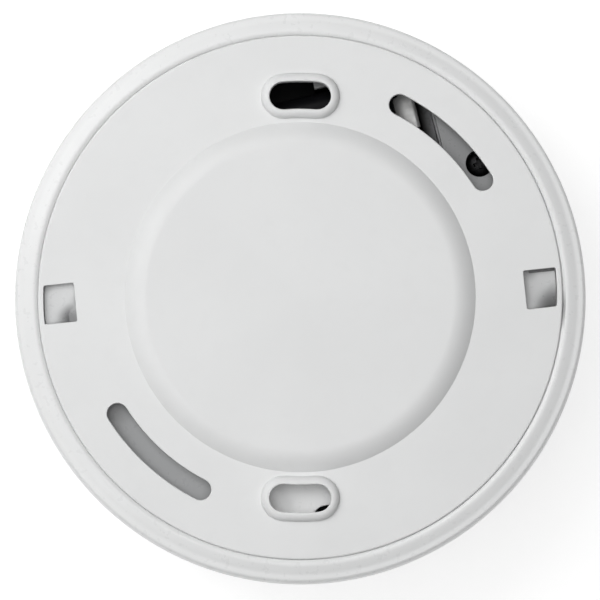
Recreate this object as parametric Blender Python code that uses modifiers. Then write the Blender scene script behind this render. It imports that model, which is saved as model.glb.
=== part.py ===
"""Round battery smoke alarm on its twist-on mounting plate, as an assembly of separate parts.

Frame: the origin is the centre of the mounting plate's raised disc, which rests on the ceiling.
+Z points up into the ceiling, so the alarm hangs below z = 0 and its dome faces -Z.
The numbers below are millimetres and degrees; the helper functions turn them into metres.
"""
import math

import bmesh
import bpy
from mathutils import Matrix

MM = 0.001
FINE_STEPS = 56
ROUND_STEPS = 32
SMALL_STEPS = 16
MERGE = 0.00001
GAP = 0.3
CLEAR = 1.0
EMBED = 0.5
SLIVER = 0.05

# Mounting plate
PLATE_RADIUS = 45.55
PLATE_FACE = -1.5
PLATE_UNDERSIDE = -2.7
PLATE_EDGE_ROUND = 0.5
SKIRT_INNER = 44.7
SKIRT_BOTTOM = -5.2
DISC_RADIUS = 30.5
DISC_ROUND = 2.9
DISC_HOLLOW_INSET = 1.5
BOSS_TOP = -0.15
BOSS_BEVEL = 0.35
SCREW_SLOT_RADIUS = 35.1
SCREW_SLOT_WIDTH = 4.8
SCREW_SLOT_SPAN = 9.7
BOSS_WIDTH = 7.9
SCREW_SLOT_ANGLES = (90.0, 270.0)
ARC_SLOT_RADIUS = 37.7
ARC_SLOT_WIDTH = 3.65
ARC_SLOT_SPAN = 30.1
ARC_SLOT_ANGLES = (47.65, 227.65)
WINDOW_ANGLES = (2.0, 181.6)
WINDOW_INNER = 39.1
WINDOW_WIDTH = 6.8
WINDOW_LEAN = 4.0
LEDGE_INNER = 41.6
LEDGE_TOP = -4.4
LEDGE_SPAN = 13.8
STOP_OFFSET = 6.9
STOP_SPAN = 1.8
STOP_INSET = 0.4

# Rear housing
PANEL_TOP = -6.0
PANEL_BOTTOM = -7.6
RECESS_RADIUS = 45.9
RIM_TOP = -1.6
RIM_ROUND = (0.8, 0.4)
BAND_OUTER = 48.4
LIP_TOP = -2.15
LIP_RADIUS = 49.6
LIP_ROUND = 0.6
LIP_FALL = 0.05
LIP_BOTTOM = -4.1
WALL_OUTER = 47.9
HOOK_SPAN = 10.4
HOOK_TOP = -3.1
HOOK_BOTTOM = -4.1
HOOK_POST_INNER = 38.4
HOOK_POST_OUTER = 40.4
HOOK_TIP = 44.3
HOOK_NECK = 0.4
WELL_ANGLES = (37.0, 157.0, 277.0)
WELL_CENTRES = 39.2
WELL_OUTER = 4.0
WELL_INNER = 2.6
WELL_FLOOR = -8.5
WELL_BOTTOM = -10.0
SCREW_HOLE = 1.5
POST_HOLE_RADIUS = 1.3
POST_HOLE_DEPTH = 7.0

# Battery, standing in a frame turned about Z: U runs along the battery, V across it
BAY_TURN = 14.0
BATTERY_U = (-21.4, 24.0)
BATTERY_V = (7.8, 34.3)
BATTERY_TOP = -6.4
BATTERY_BOTTOM = -23.9
BATTERY_CAP = 1.6
BATTERY_ROUND = 1.3
CAP_INSET = 0.3
CAP_BEVEL = 0.4
TERMINAL_HEIGHT = 3.0
TERMINAL_OFFSET = 6.35
BAY_CLEARANCE = 0.5
BAY_WALL = 1.2
BAY_CORNERS = (3.0, 1.2)
POCKET_U = 30.5
POCKET_V = (10.4, 31.7)
POCKET_CORNERS = (1.5, 0.6)
POCKET_REAR_U = (18.5, 20.5)
CONTACT_SHEET = 0.4
CONTACT_HALF_WIDTH = 3.2
CONTACT_Z = (-19.7, -7.9)
CONTACT_TAB_U = 24.4
CONTACT_TAB_CORNER = 1.2
CONTACT_BLOCK_U = (28.1, 30.2)
CONTACT_BLOCK_TOP = -10.0
CONTACT_BLOCK_MARGIN = 0.6
NOTCH_U = (1.0, 11.3)
NOTCH_V = (33.0, 37.6)
NOTCH_FLOOR = -16.0
NOTCH_CORNER = 0.8
LEAD_HOLE_U = (25.8, 29.1)
LEAD_HOLE_Z = (-23.5, -20.7)
LEAD_RADIUS = 0.6

# Screws: head radius, head height, shank radius and length under the head
COVER_SCREW = (2.3, 1.6, 1.15, 11.0)
BOARD_SCREW = (2.4, 1.5, 1.0, 7.5)
HEAD_EDGE = 0.15
SCREW_POINT = 1.0

# Front cover
COVER_RADIUS = 50.0
COVER_WALL = 2.0
COVER_TOP = -4.4
COVER_INNER_TOP = 48.2
COVER_EDGE = 0.1
WIDEST = -9.0
MID_HEIGHT = -16.0
MID_INSET = 0.3
SHOULDER_TOP = -24.0
SHOULDER_RADIUS = 48.8
FRONT_FACE = -35.0
FRONT_FLAT = 37.0
DISH_RADIUS = 13.6
DISH_FACE = -34.6
DISH_SLOPE = 0.6
POST_RADIUS = 3.2
POST_TOP = -10.3
COVER_POST_HOLE_DEPTH = 11.0
VENT_COUNT = 28
VENT_WIDTH = 2.4
VENT_TOP = -22.0
VENT_BOTTOM = -32.0
VENT_CUT_RADIUS = 48.2
VENT_CUT_LENGTH = 9.0
GRILLE_WIDTH = 1.6
GRILLE_PITCH = 3.2
GRILLE_COUNT = 5
GRILLE_REACH = 9.5
LIGHT_HOLE_RADIUS = 1.8

# Board, chamber and sounder, in the turned frame
BOARD_REAR = -16.8
BOARD_FRONT = -18.4
BOARD_RADIUS = 42.5
BOARD_EDGE_V = 5.4
BOARD_NOTCH = 4.0
BOARD_HOLE_RADIUS = 1.4
BOARD_POSTS = ((-38.0, 1.0), (37.5, 0.5), (12.0, -38.0))
BOARD_POST_RADIUS = 3.0
CHAMBER_CENTRE = (-20.0, -14.5)
CHAMBER_RADIUS = 16.5
CHAMBER_FLOOR = -20.2
CHAMBER_CAP_TOP = -28.9
CHAMBER_CAP_BOTTOM = -30.4
VANE_COUNT = 14
VANE_LEAN = 38.0
VANE_RADIUS = 13.3
VANE_SIZE = (3.2, 0.8)
CHAMBER_CAP_INNER = 15.9
CHAMBER_CAP_RIM = 1.2
CHAMBER_CAP_BEVEL = 0.6
MESH_RADII = (15.25, 15.6)
CRADLE_SIZE = (4.6, 4.8)
BAFFLE_SIZE = (0.9, 5.0, 7.0)
BAFFLE_RADIUS = 6.5
OPTICS_RADIUS = 8.2
OPTICS_HEIGHT = -24.8
LAMP_RADIUS = 1.55
LAMP_GROOVE_HALF = 6.0
EMITTER_ANGLE = 205.0
RECEIVER_ANGLE = 335.0
SOUNDER_CENTRE = (19.5, -16.0)
SOUNDER_RADIUS = 15.5
SOUNDER_FLOOR = -20.2
SOUNDER_LEDGE = -24.0
SOUNDER_MOUTH = -28.8
SOUNDER_FRONT = -30.3
SOUNDER_BORE = 3.0
SOUNDER_CAP_BEVEL = 0.5
LEDGE_WIDTH = 1.0
CAP_RING = 1.2
GLUE = 0.12
CONTACT_SPRING_PLACES = ((4.0, 200.0), (11.2, 20.0))
CONTACT_SPRING_HOLE = 1.6
CONTACT_SPRING_RADIUS = 0.8
CONTACT_SPRING_WIRE = 0.2
CONTACT_SPRING_END = 0.25
CONTACT_SPRING_TURNS = 3.5
BRASS_RADIUS = 13.5
BRASS_SHEET = 0.3
CERAMIC_RADIUS = 9.7
CERAMIC_SHEET = 0.3
LED_CENTRE = (0.4, -21.0)
LED_HEIGHT = 5.0
CAPACITOR_CENTRES = ((6.0, -9.0), (14.5, -9.0))
TRANSFORMER_CENTRE = (24.0, -20.0)
RESISTOR_CENTRES = ((-6.0, -24.0), (-6.0, -28.5), (8.0, -24.0))
RESISTOR_AXIS = 1.25
CHIP_CENTRE = (-22.0, -12.0)
CHIP_SIZE = (19.5, 6.4, 3.2)
CHIP_STANDOFF = 0.6
CHIP_LEG_SIZE = (0.6, 1.4, 2.4)
CHIP_LEG_PITCH = 2.3
CHIP_LEG_OFFSET = 3.6
CHIP_LEGS_PER_SIDE = 8

# Test button and its switch, on the alarm's own axis
BUTTON_RADIUS = 11.0
BUTTON_HOLE = 11.3
BUTTON_FACE = -34.5
BUTTON_FLANGE = 12.4
BUTTON_FLANGE_REAR = -31.8
BUTTON_STEM = 2.0
BUTTON_EDGE = 0.5
SWITCH_SIDE = 6.0
SWITCH_HEIGHT = 3.6
SWITCH_BEVEL = 0.3
PLUNGER_RADIUS = 1.5
PLUNGER_REAR = 2.9
PLUNGER_TIP = -24.2
STEM_TIP = -24.95
SPRING_RADIUS = 5.8
SPRING_WIRE = 0.35
SPRING_TURNS = 5


def polar(radius, angle, centre=(0.0, 0.0)):
    turn = math.radians(angle)
    return (centre[0] + radius * math.cos(turn), centre[1] + radius * math.sin(turn))


def arc(centre, radius, start, stop, count):
    """Points along a round stretch of an outline, both ends included."""
    return [polar(radius, start + (stop - start) * i / count, centre) for i in range(count + 1)]


def collection(name):
    made = bpy.data.collections.new(name)
    bpy.context.scene.collection.children.link(made)
    return made


def material(name, colour, roughness, metallic=0.0):
    made = bpy.data.materials.new(name)
    made.use_nodes = True
    shader = made.node_tree.nodes["Principled BSDF"]
    shader.inputs["Base Color"].default_value = (*colour, 1.0)
    shader.inputs["Roughness"].default_value = roughness
    shader.inputs["Metallic"].default_value = metallic
    return made


def mesh_object(name, shape):
    """A mesh object from a bmesh, kept with the tools until it is finished as a part."""
    mesh = bpy.data.meshes.new(name)
    shape.to_mesh(mesh)
    shape.free()
    made = bpy.data.objects.new(name, mesh)
    TOOLS.objects.link(made)
    made.hide_render = True
    made.display_type = "WIRE"
    return made


def turned(name, profile, steps=ROUND_STEPS, centre=(0.0, 0.0)):
    """A turned solid from (radius, height) points that run down its outer side.

    A profile that starts and ends on the axis is open there; any other one is a closed ring.
    """
    shape = bmesh.new()
    points = [shape.verts.new((radius * MM, 0.0, height * MM)) for radius, height in profile]
    for start, stop in zip(points, points[1:]):
        shape.edges.new((start, stop))
    if profile[0][0] > 0.0:
        shape.edges.new((points[-1], points[0]))
    made = mesh_object(name, shape)
    made.location = (centre[0] * MM, centre[1] * MM, 0.0)
    screw = made.modifiers.new("Turn", "SCREW")
    screw.steps = steps
    screw.render_steps = steps
    screw.use_merge_vertices = True
    screw.merge_threshold = MERGE
    screw.use_smooth_shade = True
    return made


def tube_ring(name, inner, outer, bottom, top, steps=ROUND_STEPS, centre=(0.0, 0.0)):
    return turned(name, [(inner, top), (outer, top), (outer, bottom), (inner, bottom)], steps, centre)


def rod(name, radius, bottom, top, centre=(0.0, 0.0), steps=SMALL_STEPS):
    shape = bmesh.new()
    bmesh.ops.create_cone(shape, cap_ends=True, segments=steps, radius1=radius * MM,
                          radius2=radius * MM, depth=(top - bottom) * MM)
    made = mesh_object(name, shape)
    made.location = (centre[0] * MM, centre[1] * MM, (top + bottom) / 2.0 * MM)
    return made


def block(name, size, centre, turn=0.0):
    """A box of the given size, its edges along the frame's axes or turned about Z."""
    shape = bmesh.new()
    bmesh.ops.create_cube(shape, size=1.0)
    bmesh.ops.scale(shape, vec=[side * MM for side in size], verts=shape.verts)
    made = mesh_object(name, shape)
    made.location = [place * MM for place in centre]
    made.rotation_euler.z = math.radians(turn)
    return made


def span_block(name, u_range, v_range, z_range):
    ranges = (u_range, v_range, z_range)
    size = [high - low for low, high in ranges]
    centre = [(high + low) / 2.0 for low, high in ranges]
    return block(name, size, centre)


def prism(name, outline, bottom, top, holes=()):
    """An upright solid from a closed outline in X and Y, with any holes in it."""
    curve = bpy.data.curves.new(name, "CURVE")
    curve.dimensions = "2D"
    curve.fill_mode = "BOTH"
    curve.extrude = (top - bottom) / 2.0 * MM
    for loop in (outline, *holes):
        spline = curve.splines.new("POLY")
        spline.points.add(len(loop) - 1)
        for point, (x, y) in zip(spline.points, loop):
            point.co = (x * MM, y * MM, 0.0, 1.0)
        spline.use_cyclic_u = True
    flat = bpy.data.objects.new(name + "_outline", curve)
    flat.location.z = (top + bottom) / 2.0 * MM
    return curve_to_mesh(name, flat)


def curve_to_mesh(name, drawn):
    """The mesh of a curve object, its caps welded, in the curve's place."""
    bpy.context.scene.collection.objects.link(drawn)
    bpy.context.view_layer.update()
    graph = bpy.context.evaluated_depsgraph_get()
    mesh = bpy.data.meshes.new_from_object(drawn.evaluated_get(graph))
    shape = bmesh.new()
    shape.from_mesh(mesh)
    bmesh.ops.remove_doubles(shape, verts=shape.verts, dist=MERGE / 10.0)
    bpy.data.meshes.remove(mesh)
    made = mesh_object(name, shape)
    made.matrix_world = drawn.matrix_world.copy()
    bpy.data.objects.remove(drawn)
    return made


def wire(name, points, radius, bevel_resolution=2):
    """A round wire or lead through the given points."""
    curve = bpy.data.curves.new(name, "CURVE")
    curve.dimensions = "3D"
    curve.bevel_depth = radius * MM
    curve.bevel_resolution = bevel_resolution
    curve.use_fill_caps = True
    spline = curve.splines.new("POLY")
    spline.points.add(len(points) - 1)
    for point, place in zip(spline.points, points):
        point.co = (*[value * MM for value in place], 1.0)
    return curve_to_mesh(name, bpy.data.objects.new(name + "_path", curve))


def helix(radius, bottom, top, turns, centre=(0.0, 0.0), steps=12):
    """Points of a compression coil whose end turns lie flat."""
    count = int(turns * steps)
    points = []
    for i in range(count + 1):
        along = i / count
        eased = min(max((along * turns - 0.5) / (turns - 1.0), 0.0), 1.0)
        x, y = polar(radius, 360.0 * turns * along, centre)
        points.append((x, y, bottom + (top - bottom) * eased + 0.02 * along))
    return points


def smooth_route(corners, steps=5):
    """A smooth curve through hand-placed points, by Catmull-Rom blending."""
    padded = [corners[0], *corners, corners[-1]]
    points = []
    for a, b, c, d in zip(padded, padded[1:], padded[2:], padded[3:]):
        for i in range(steps):
            t = i / steps
            points.append([0.5 * (2.0 * q + (r - p) * t + (2.0 * p - 5.0 * q + 4.0 * r - s) * t * t
                                  + (3.0 * q - p - 3.0 * r + s) * t * t * t)
                           for p, q, r, s in zip(a, b, c, d)])
    points.append(list(corners[-1]))
    return points


def combine(target, operation, tools):
    for tool in tools:
        step = target.modifiers.new(tool.name, "BOOLEAN")
        step.operation = operation
        step.object = tool
        step.solver = "EXACT"
        tool.parent = target.parent if tool.parent is None else tool.parent


def add(target, *tools):
    combine(target, "UNION", tools)


def cut(target, *tools):
    combine(target, "DIFFERENCE", tools)


def bevel(target, width, segments=1, angle=40.0):
    step = target.modifiers.new("Edge", "BEVEL")
    step.width = width * MM
    step.segments = segments
    step.limit_method = "ANGLE"
    step.angle_limit = math.radians(angle)


def finish(made, look, frame=None):
    """Move an object from the tools to the parts, with its material and smooth shading."""
    TOOLS.objects.unlink(made)
    PARTS.objects.link(made)
    made.hide_render = False
    made.display_type = "TEXTURED"
    made.parent = frame
    made.data.materials.clear()
    made.data.materials.append(look)
    made.data.shade_smooth()
    made.data.set_sharp_from_angle(angle=math.radians(30.0))
    return made


def arc_slot(radius, width, middle, span, steps=6):
    """Outline of a slot that is bent round the plate's centre and has round ends."""
    start = middle - span / 2.0
    stop = middle + span / 2.0
    half = width / 2.0
    outline = arc((0.0, 0.0), radius + half, start, stop, steps)
    outline += arc(polar(radius, stop), half, stop, stop + 180.0, steps)[1:-1]
    outline += arc((0.0, 0.0), radius - half, stop, start, steps)
    outline += arc(polar(radius, start), half, start + 180.0, start + 360.0, steps)[1:-1]
    return outline


def ring_sector(inner, outer, middle, span, steps=4):
    start = middle - span / 2.0
    stop = middle + span / 2.0
    return (arc((0.0, 0.0), outer, start, stop, steps)
            + arc((0.0, 0.0), inner, stop, start, steps))


def rounded_rectangle(u_range, v_range, radius, steps=4):
    (left, right), (low, high) = u_range, v_range
    outline = []
    for corner_u, corner_v, start in ((right - radius, high - radius, 0.0),
                                      (left + radius, high - radius, 90.0),
                                      (left + radius, low + radius, 180.0),
                                      (right - radius, low + radius, 270.0)):
        outline += arc((corner_u, corner_v), radius, start, start + 90.0, steps)
    return outline


def window_outline(angle):
    """A squarish window whose outer side follows the skirt and whose sides lean a little."""
    lean = math.radians(angle + WINDOW_LEAN)
    along = (math.cos(lean), math.sin(lean))
    across = (-along[1], along[0])
    middle = polar((WINDOW_INNER + SKIRT_INNER) / 2.0, angle)
    reach = (SKIRT_INNER - WINDOW_INNER) / 2.0
    half = WINDOW_WIDTH / 2.0

    def corner(a, b):
        return (middle[0] + a * along[0] + b * across[0], middle[1] + a * along[1] + b * across[1])

    outer_low = corner(reach, -half)
    outer_high = corner(reach, half)
    low = math.degrees(math.atan2(outer_low[1], outer_low[0])) % 360.0
    high = math.degrees(math.atan2(outer_high[1], outer_high[0])) % 360.0
    low = low - 360.0 if low > high else low
    return (arc((0.0, 0.0), SKIRT_INNER - SLIVER, low, high, 5)
            + [corner(-reach, half), corner(-reach, -half)])


def pillow_edge(steps=4):
    """The raised disc's edge: flat at the top and steep where it meets the plate."""
    start = DISC_RADIUS - DISC_ROUND
    points = []
    for i in range(steps + 1):
        turn = math.radians(90.0 * i / steps)
        points.append((start + DISC_ROUND * math.sin(turn),
                       PLATE_FACE * (1.0 - math.cos(turn))))
    return points


def make_mounting_plate():
    profile = [(0.0, 0.0), *pillow_edge()]
    corner = (PLATE_RADIUS - PLATE_EDGE_ROUND, PLATE_FACE - PLATE_EDGE_ROUND)
    profile += arc(corner, PLATE_EDGE_ROUND, 90.0, 0.0, 2)
    profile += [(PLATE_RADIUS, SKIRT_BOTTOM), (SKIRT_INNER, SKIRT_BOTTOM),
                (SKIRT_INNER, PLATE_UNDERSIDE), (DISC_RADIUS - DISC_HOLLOW_INSET, PLATE_UNDERSIDE),
                (DISC_RADIUS - DISC_ROUND, PLATE_UNDERSIDE - PLATE_FACE),
                (0.0, PLATE_UNDERSIDE - PLATE_FACE)]
    plate = turned("mounting_plate", profile, FINE_STEPS)
    for angle in SCREW_SLOT_ANGLES:
        boss = prism("screw_boss", arc_slot(SCREW_SLOT_RADIUS, BOSS_WIDTH, angle, SCREW_SLOT_SPAN),
                     PLATE_FACE - EMBED, BOSS_TOP)
        bevel(boss, BOSS_BEVEL)
        add(plate, boss)
    for angle in WINDOW_ANGLES:
        shift = (LEDGE_SPAN - HOOK_SPAN - CLEAR) / 2.0
        ledge = prism("bayonet_ledge",
                      ring_sector(LEDGE_INNER, SKIRT_INNER + EMBED, angle + shift, LEDGE_SPAN),
                      SKIRT_BOTTOM + SLIVER, LEDGE_TOP)
        stop = prism("bayonet_stop",
                     ring_sector(LEDGE_INNER + STOP_INSET, SKIRT_INNER + STOP_INSET,
                                 angle + STOP_OFFSET, STOP_SPAN),
                     LEDGE_TOP - EMBED, PLATE_UNDERSIDE + EMBED)
        add(plate, ledge, stop)
    for angle in SCREW_SLOT_ANGLES:
        cut(plate, prism("screw_slot",
                         arc_slot(SCREW_SLOT_RADIUS, SCREW_SLOT_WIDTH, angle, SCREW_SLOT_SPAN),
                         PLATE_UNDERSIDE - CLEAR, CLEAR))
    for angle in ARC_SLOT_ANGLES:
        cut(plate, prism("arc_slot", arc_slot(ARC_SLOT_RADIUS, ARC_SLOT_WIDTH, angle, ARC_SLOT_SPAN),
                         PLATE_UNDERSIDE - CLEAR, CLEAR))
    for angle in WINDOW_ANGLES:
        cut(plate, prism("window", window_outline(angle), PLATE_UNDERSIDE - CLEAR, CLEAR))
    finish(plate, WHITE)


def make_rear_housing(bay_frame):
    crest = RECESS_RADIUS + RIM_ROUND[0]
    foot = RIM_TOP - RIM_ROUND[1]
    profile = [(0.0, PANEL_TOP), (RECESS_RADIUS, PANEL_TOP), (RECESS_RADIUS, foot)]
    profile += [(crest - RIM_ROUND[0] * math.cos(math.radians(turn)),
                 foot + RIM_ROUND[1] * math.sin(math.radians(turn))) for turn in (30.0, 60.0, 90.0)]
    profile += [(BAND_OUTER, LIP_TOP), (LIP_RADIUS - LIP_ROUND, LIP_TOP - LIP_FALL)]
    profile += arc((LIP_RADIUS - LIP_ROUND, LIP_TOP - LIP_FALL - LIP_ROUND), LIP_ROUND, 60.0, 0.0, 2)
    profile += [(LIP_RADIUS, LIP_BOTTOM), (WALL_OUTER, LIP_BOTTOM), (WALL_OUTER, PANEL_BOTTOM),
                (0.0, PANEL_BOTTOM)]
    housing = turned("rear_housing", profile, FINE_STEPS)

    for angle in WINDOW_ANGLES:
        post = prism("hook_post", ring_sector(HOOK_POST_INNER, HOOK_POST_OUTER, angle, HOOK_SPAN),
                     PANEL_TOP - EMBED, HOOK_TOP - HOOK_NECK)
        tip = prism("hook_tip",
                    ring_sector(HOOK_POST_INNER + SLIVER, HOOK_TIP, angle, HOOK_SPAN - SLIVER),
                    HOOK_BOTTOM, HOOK_TOP)
        add(housing, post, tip)
    for angle in WELL_ANGLES:
        add(housing, rod("well_wall", WELL_OUTER, WELL_BOTTOM, PANEL_BOTTOM + EMBED,
                         polar(WELL_CENTRES, angle)))

    floor = BATTERY_BOTTOM - GAP
    inner_u = (BATTERY_U[0] - BAY_CLEARANCE, BATTERY_U[1] + BAY_CLEARANCE)
    inner_v = (BATTERY_V[0] - BAY_CLEARANCE, BATTERY_V[1] + BAY_CLEARANCE)
    outer_u = (inner_u[0] - BAY_WALL, inner_u[1] + BAY_WALL)
    outer_v = (inner_v[0] - BAY_WALL, inner_v[1] + BAY_WALL)
    pocket_outer_v = (POCKET_V[0] - BAY_WALL, POCKET_V[1] + BAY_WALL)
    bay_wall = prism("bay_wall", rounded_rectangle(outer_u, outer_v, BAY_CORNERS[0]), floor - BAY_WALL,
                     PANEL_BOTTOM + EMBED)
    pocket_wall = prism("pocket_wall",
                        rounded_rectangle((POCKET_REAR_U[0], POCKET_U + BAY_WALL), pocket_outer_v,
                                          POCKET_CORNERS[0]),
                        floor - BAY_WALL + SLIVER, PANEL_BOTTOM + EMBED - SLIVER)
    add(housing, bay_wall, pocket_wall)
    for place in BOARD_POSTS:
        post = rod("board_post", BOARD_POST_RADIUS, BOARD_REAR + GAP, PANEL_BOTTOM + EMBED, place)
        post.parent = bay_frame
        add(housing, post)

    bay = prism("bay_space", rounded_rectangle(inner_u, inner_v, BAY_CORNERS[1]), floor,
                PANEL_TOP + CLEAR)
    pocket = prism("pocket_space",
                   rounded_rectangle((POCKET_REAR_U[1], POCKET_U), POCKET_V, POCKET_CORNERS[1]),
                   floor + SLIVER, PANEL_TOP + CLEAR)
    notch = prism("finger_notch", rounded_rectangle(NOTCH_U, NOTCH_V, NOTCH_CORNER), NOTCH_FLOOR,
                  PANEL_TOP + CLEAR)
    lead_hole = span_block("lead_hole", LEAD_HOLE_U, (pocket_outer_v[0] - CLEAR, POCKET_V[0] + CLEAR),
                           LEAD_HOLE_Z)
    for tool in (bay_wall, pocket_wall, bay, pocket, notch, lead_hole):
        tool.parent = bay_frame
    cut(housing, bay, pocket, notch, lead_hole)
    for angle in WELL_ANGLES:
        centre = polar(WELL_CENTRES, angle)
        cut(housing, rod("well_space", WELL_INNER, WELL_FLOOR, PANEL_TOP + CLEAR, centre),
            rod("well_hole", SCREW_HOLE, WELL_BOTTOM - CLEAR, WELL_FLOOR + CLEAR, centre))
    for place in BOARD_POSTS:
        hole = rod("board_post_hole", POST_HOLE_RADIUS, BOARD_REAR - CLEAR, BOARD_REAR + POST_HOLE_DEPTH,
                   place)
        hole.parent = bay_frame
        cut(housing, hole)
    finish(housing, WHITE)


def shoulder(inset, steps):
    """The cover's round shoulder from its side down to its front, moved inwards by inset."""
    reach = SHOULDER_RADIUS - FRONT_FLAT - inset
    drop = SHOULDER_TOP - FRONT_FACE - inset
    points = []
    for i in range(1, steps + 1):
        turn = math.radians(90.0 * i / steps)
        points.append((FRONT_FLAT + reach * math.cos(turn), SHOULDER_TOP - drop * math.sin(turn)))
    return points


def vent_cutter():
    """The upright bars that cut all the side vents."""
    size = (VENT_CUT_LENGTH * MM, VENT_WIDTH * MM, (VENT_TOP - VENT_BOTTOM) * MM)
    outwards = Matrix.Translation((VENT_CUT_RADIUS * MM, 0.0, (VENT_TOP + VENT_BOTTOM) / 2.0 * MM))
    shape = bmesh.new()
    for i in range(VENT_COUNT):
        turn = Matrix.Rotation(math.radians(360.0 * (i + 0.5) / VENT_COUNT), 4, "Z")
        bmesh.ops.create_cube(shape, size=1.0, matrix=turn @ outwards @ Matrix.Diagonal((*size, 1.0)))
    return mesh_object("vents", shape)


def make_front_cover(bay_frame):
    inner_face = FRONT_FACE + COVER_WALL
    profile = [(COVER_INNER_TOP, COVER_TOP), (LIP_RADIUS - COVER_EDGE, COVER_TOP),
               (LIP_RADIUS + COVER_EDGE, COVER_TOP - 2.0 * COVER_EDGE), (COVER_RADIUS, WIDEST),
               (COVER_RADIUS - MID_INSET, MID_HEIGHT), (SHOULDER_RADIUS, SHOULDER_TOP)]
    profile += shoulder(0.0, 6)
    profile += [(DISH_RADIUS, FRONT_FACE), (DISH_RADIUS - DISH_SLOPE, DISH_FACE), (BUTTON_HOLE, DISH_FACE),
                (BUTTON_HOLE, inner_face)]
    profile += shoulder(COVER_WALL, 5)[::-1]
    profile += [(SHOULDER_RADIUS - COVER_WALL, SHOULDER_TOP),
                (COVER_RADIUS - MID_INSET - COVER_WALL, MID_HEIGHT)]
    cover = turned("front_cover", profile, FINE_STEPS)

    for angle in WELL_ANGLES:
        add(cover, rod("cover_post", POST_RADIUS, inner_face - EMBED, POST_TOP,
                       polar(WELL_CENTRES, angle)))
    for angle in WELL_ANGLES:
        cut(cover, rod("cover_post_hole", SCREW_HOLE, POST_TOP - COVER_POST_HOLE_DEPTH, POST_TOP + CLEAR,
                       polar(WELL_CENTRES, angle)))
    cut(cover, vent_cutter())
    half_count = (GRILLE_COUNT - 1) / 2.0
    for i in range(GRILLE_COUNT):
        offset = (i - half_count) * GRILLE_PITCH
        half = math.sqrt(GRILLE_REACH ** 2 - offset ** 2)
        slot = prism("sounder_slot",
                     rounded_rectangle((SOUNDER_CENTRE[0] - half, SOUNDER_CENTRE[0] + half),
                                       (SOUNDER_CENTRE[1] + offset - GRILLE_WIDTH / 2.0,
                                        SOUNDER_CENTRE[1] + offset + GRILLE_WIDTH / 2.0),
                                       GRILLE_WIDTH / 2.0 - SLIVER, 3),
                     FRONT_FACE - CLEAR, inner_face + CLEAR)
        slot.parent = bay_frame
        cut(cover, slot)
    led_hole = rod("light_hole", LIGHT_HOLE_RADIUS, FRONT_FACE - CLEAR, inner_face + CLEAR, LED_CENTRE)
    led_hole.parent = bay_frame
    cut(cover, led_hole)
    finish(cover, WHITE)


def make_screw(name, centre, seat, sizes, look, frame=None, sign=1.0):
    """A pan-head screw with a cross recess; its head lies above its seat, or below for sign -1."""
    head, height, shank, length = sizes
    top = seat + sign * height
    profile = [(0.0, top), (head * 0.55, top), (head * 0.9, top - sign * height * 0.35),
               (head, seat + sign * HEAD_EDGE), (head - HEAD_EDGE, seat), (shank, seat),
               (shank, seat - sign * (length - SCREW_POINT)), (shank * 0.3, seat - sign * length),
               (0.0, seat - sign * length)]
    screw = turned(name, profile if sign > 0.0 else profile[::-1], 12, centre)
    for turn in (0.0, 90.0):
        cross = block("cross_recess", (head * 1.1, head * 0.28, height), (*centre, top), turn)
        cross.parent = frame
        cut(screw, cross)
    finish(screw, look, frame)


def make_screws(bay_frame):
    for i, angle in enumerate(WELL_ANGLES, 1):
        make_screw(f"cover_screw_{i}", polar(WELL_CENTRES, angle), WELL_FLOOR + GAP, COVER_SCREW,
                   DARK_STEEL)
    for i, place in enumerate(BOARD_POSTS, 1):
        make_screw(f"board_screw_{i}", place, BOARD_FRONT - GAP, BOARD_SCREW, STEEL, bay_frame, -1.0)


def make_battery(bay_frame):
    jacket_u = (BATTERY_U[0] + BATTERY_CAP + GAP, BATTERY_U[1] - BATTERY_CAP - GAP)
    jacket = span_block("battery_case", jacket_u, BATTERY_V, (BATTERY_BOTTOM, BATTERY_TOP))
    bevel(jacket, BATTERY_ROUND, 3)
    finish(jacket, BATTERY_JACKET, bay_frame)
    for name, ends in (("battery_terminal_plate", (BATTERY_U[1] - BATTERY_CAP, BATTERY_U[1])),
                       ("battery_base_plate", (BATTERY_U[0], BATTERY_U[0] + BATTERY_CAP))):
        plate = span_block(name, ends, (BATTERY_V[0] + CAP_INSET, BATTERY_V[1] - CAP_INSET),
                           (BATTERY_BOTTOM + CAP_INSET, BATTERY_TOP - CAP_INSET))
        bevel(plate, CAP_BEVEL)
        finish(plate, BLACK, bay_frame)

    middle_v = sum(BATTERY_V) / 2.0
    middle_z = (BATTERY_TOP + BATTERY_BOTTOM) / 2.0
    base = GAP
    studs = (("battery_positive_terminal", TERMINAL_OFFSET, 20,
              [(0.0, TERMINAL_HEIGHT), (2.5, TERMINAL_HEIGHT), (2.9, TERMINAL_HEIGHT - 0.5),
               (2.6, base + 0.8), (3.6, base + 0.5), (3.6, base), (0.0, base)]),
             ("battery_negative_terminal", -TERMINAL_OFFSET, 6,
              [(0.0, base + 0.5), (2.9, base + 0.5), (2.9, TERMINAL_HEIGHT), (3.9, TERMINAL_HEIGHT),
               (4.1, TERMINAL_HEIGHT - 0.6), (3.7, base), (0.0, base)]))
    for name, offset, steps, profile in studs:
        stud = turned(name, profile, steps)
        stud.rotation_euler.y = math.radians(90.0)
        stud.location = (BATTERY_U[1] * MM, (middle_v + offset) * MM, middle_z * MM)
        finish(stud, NICKEL, bay_frame)


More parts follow.
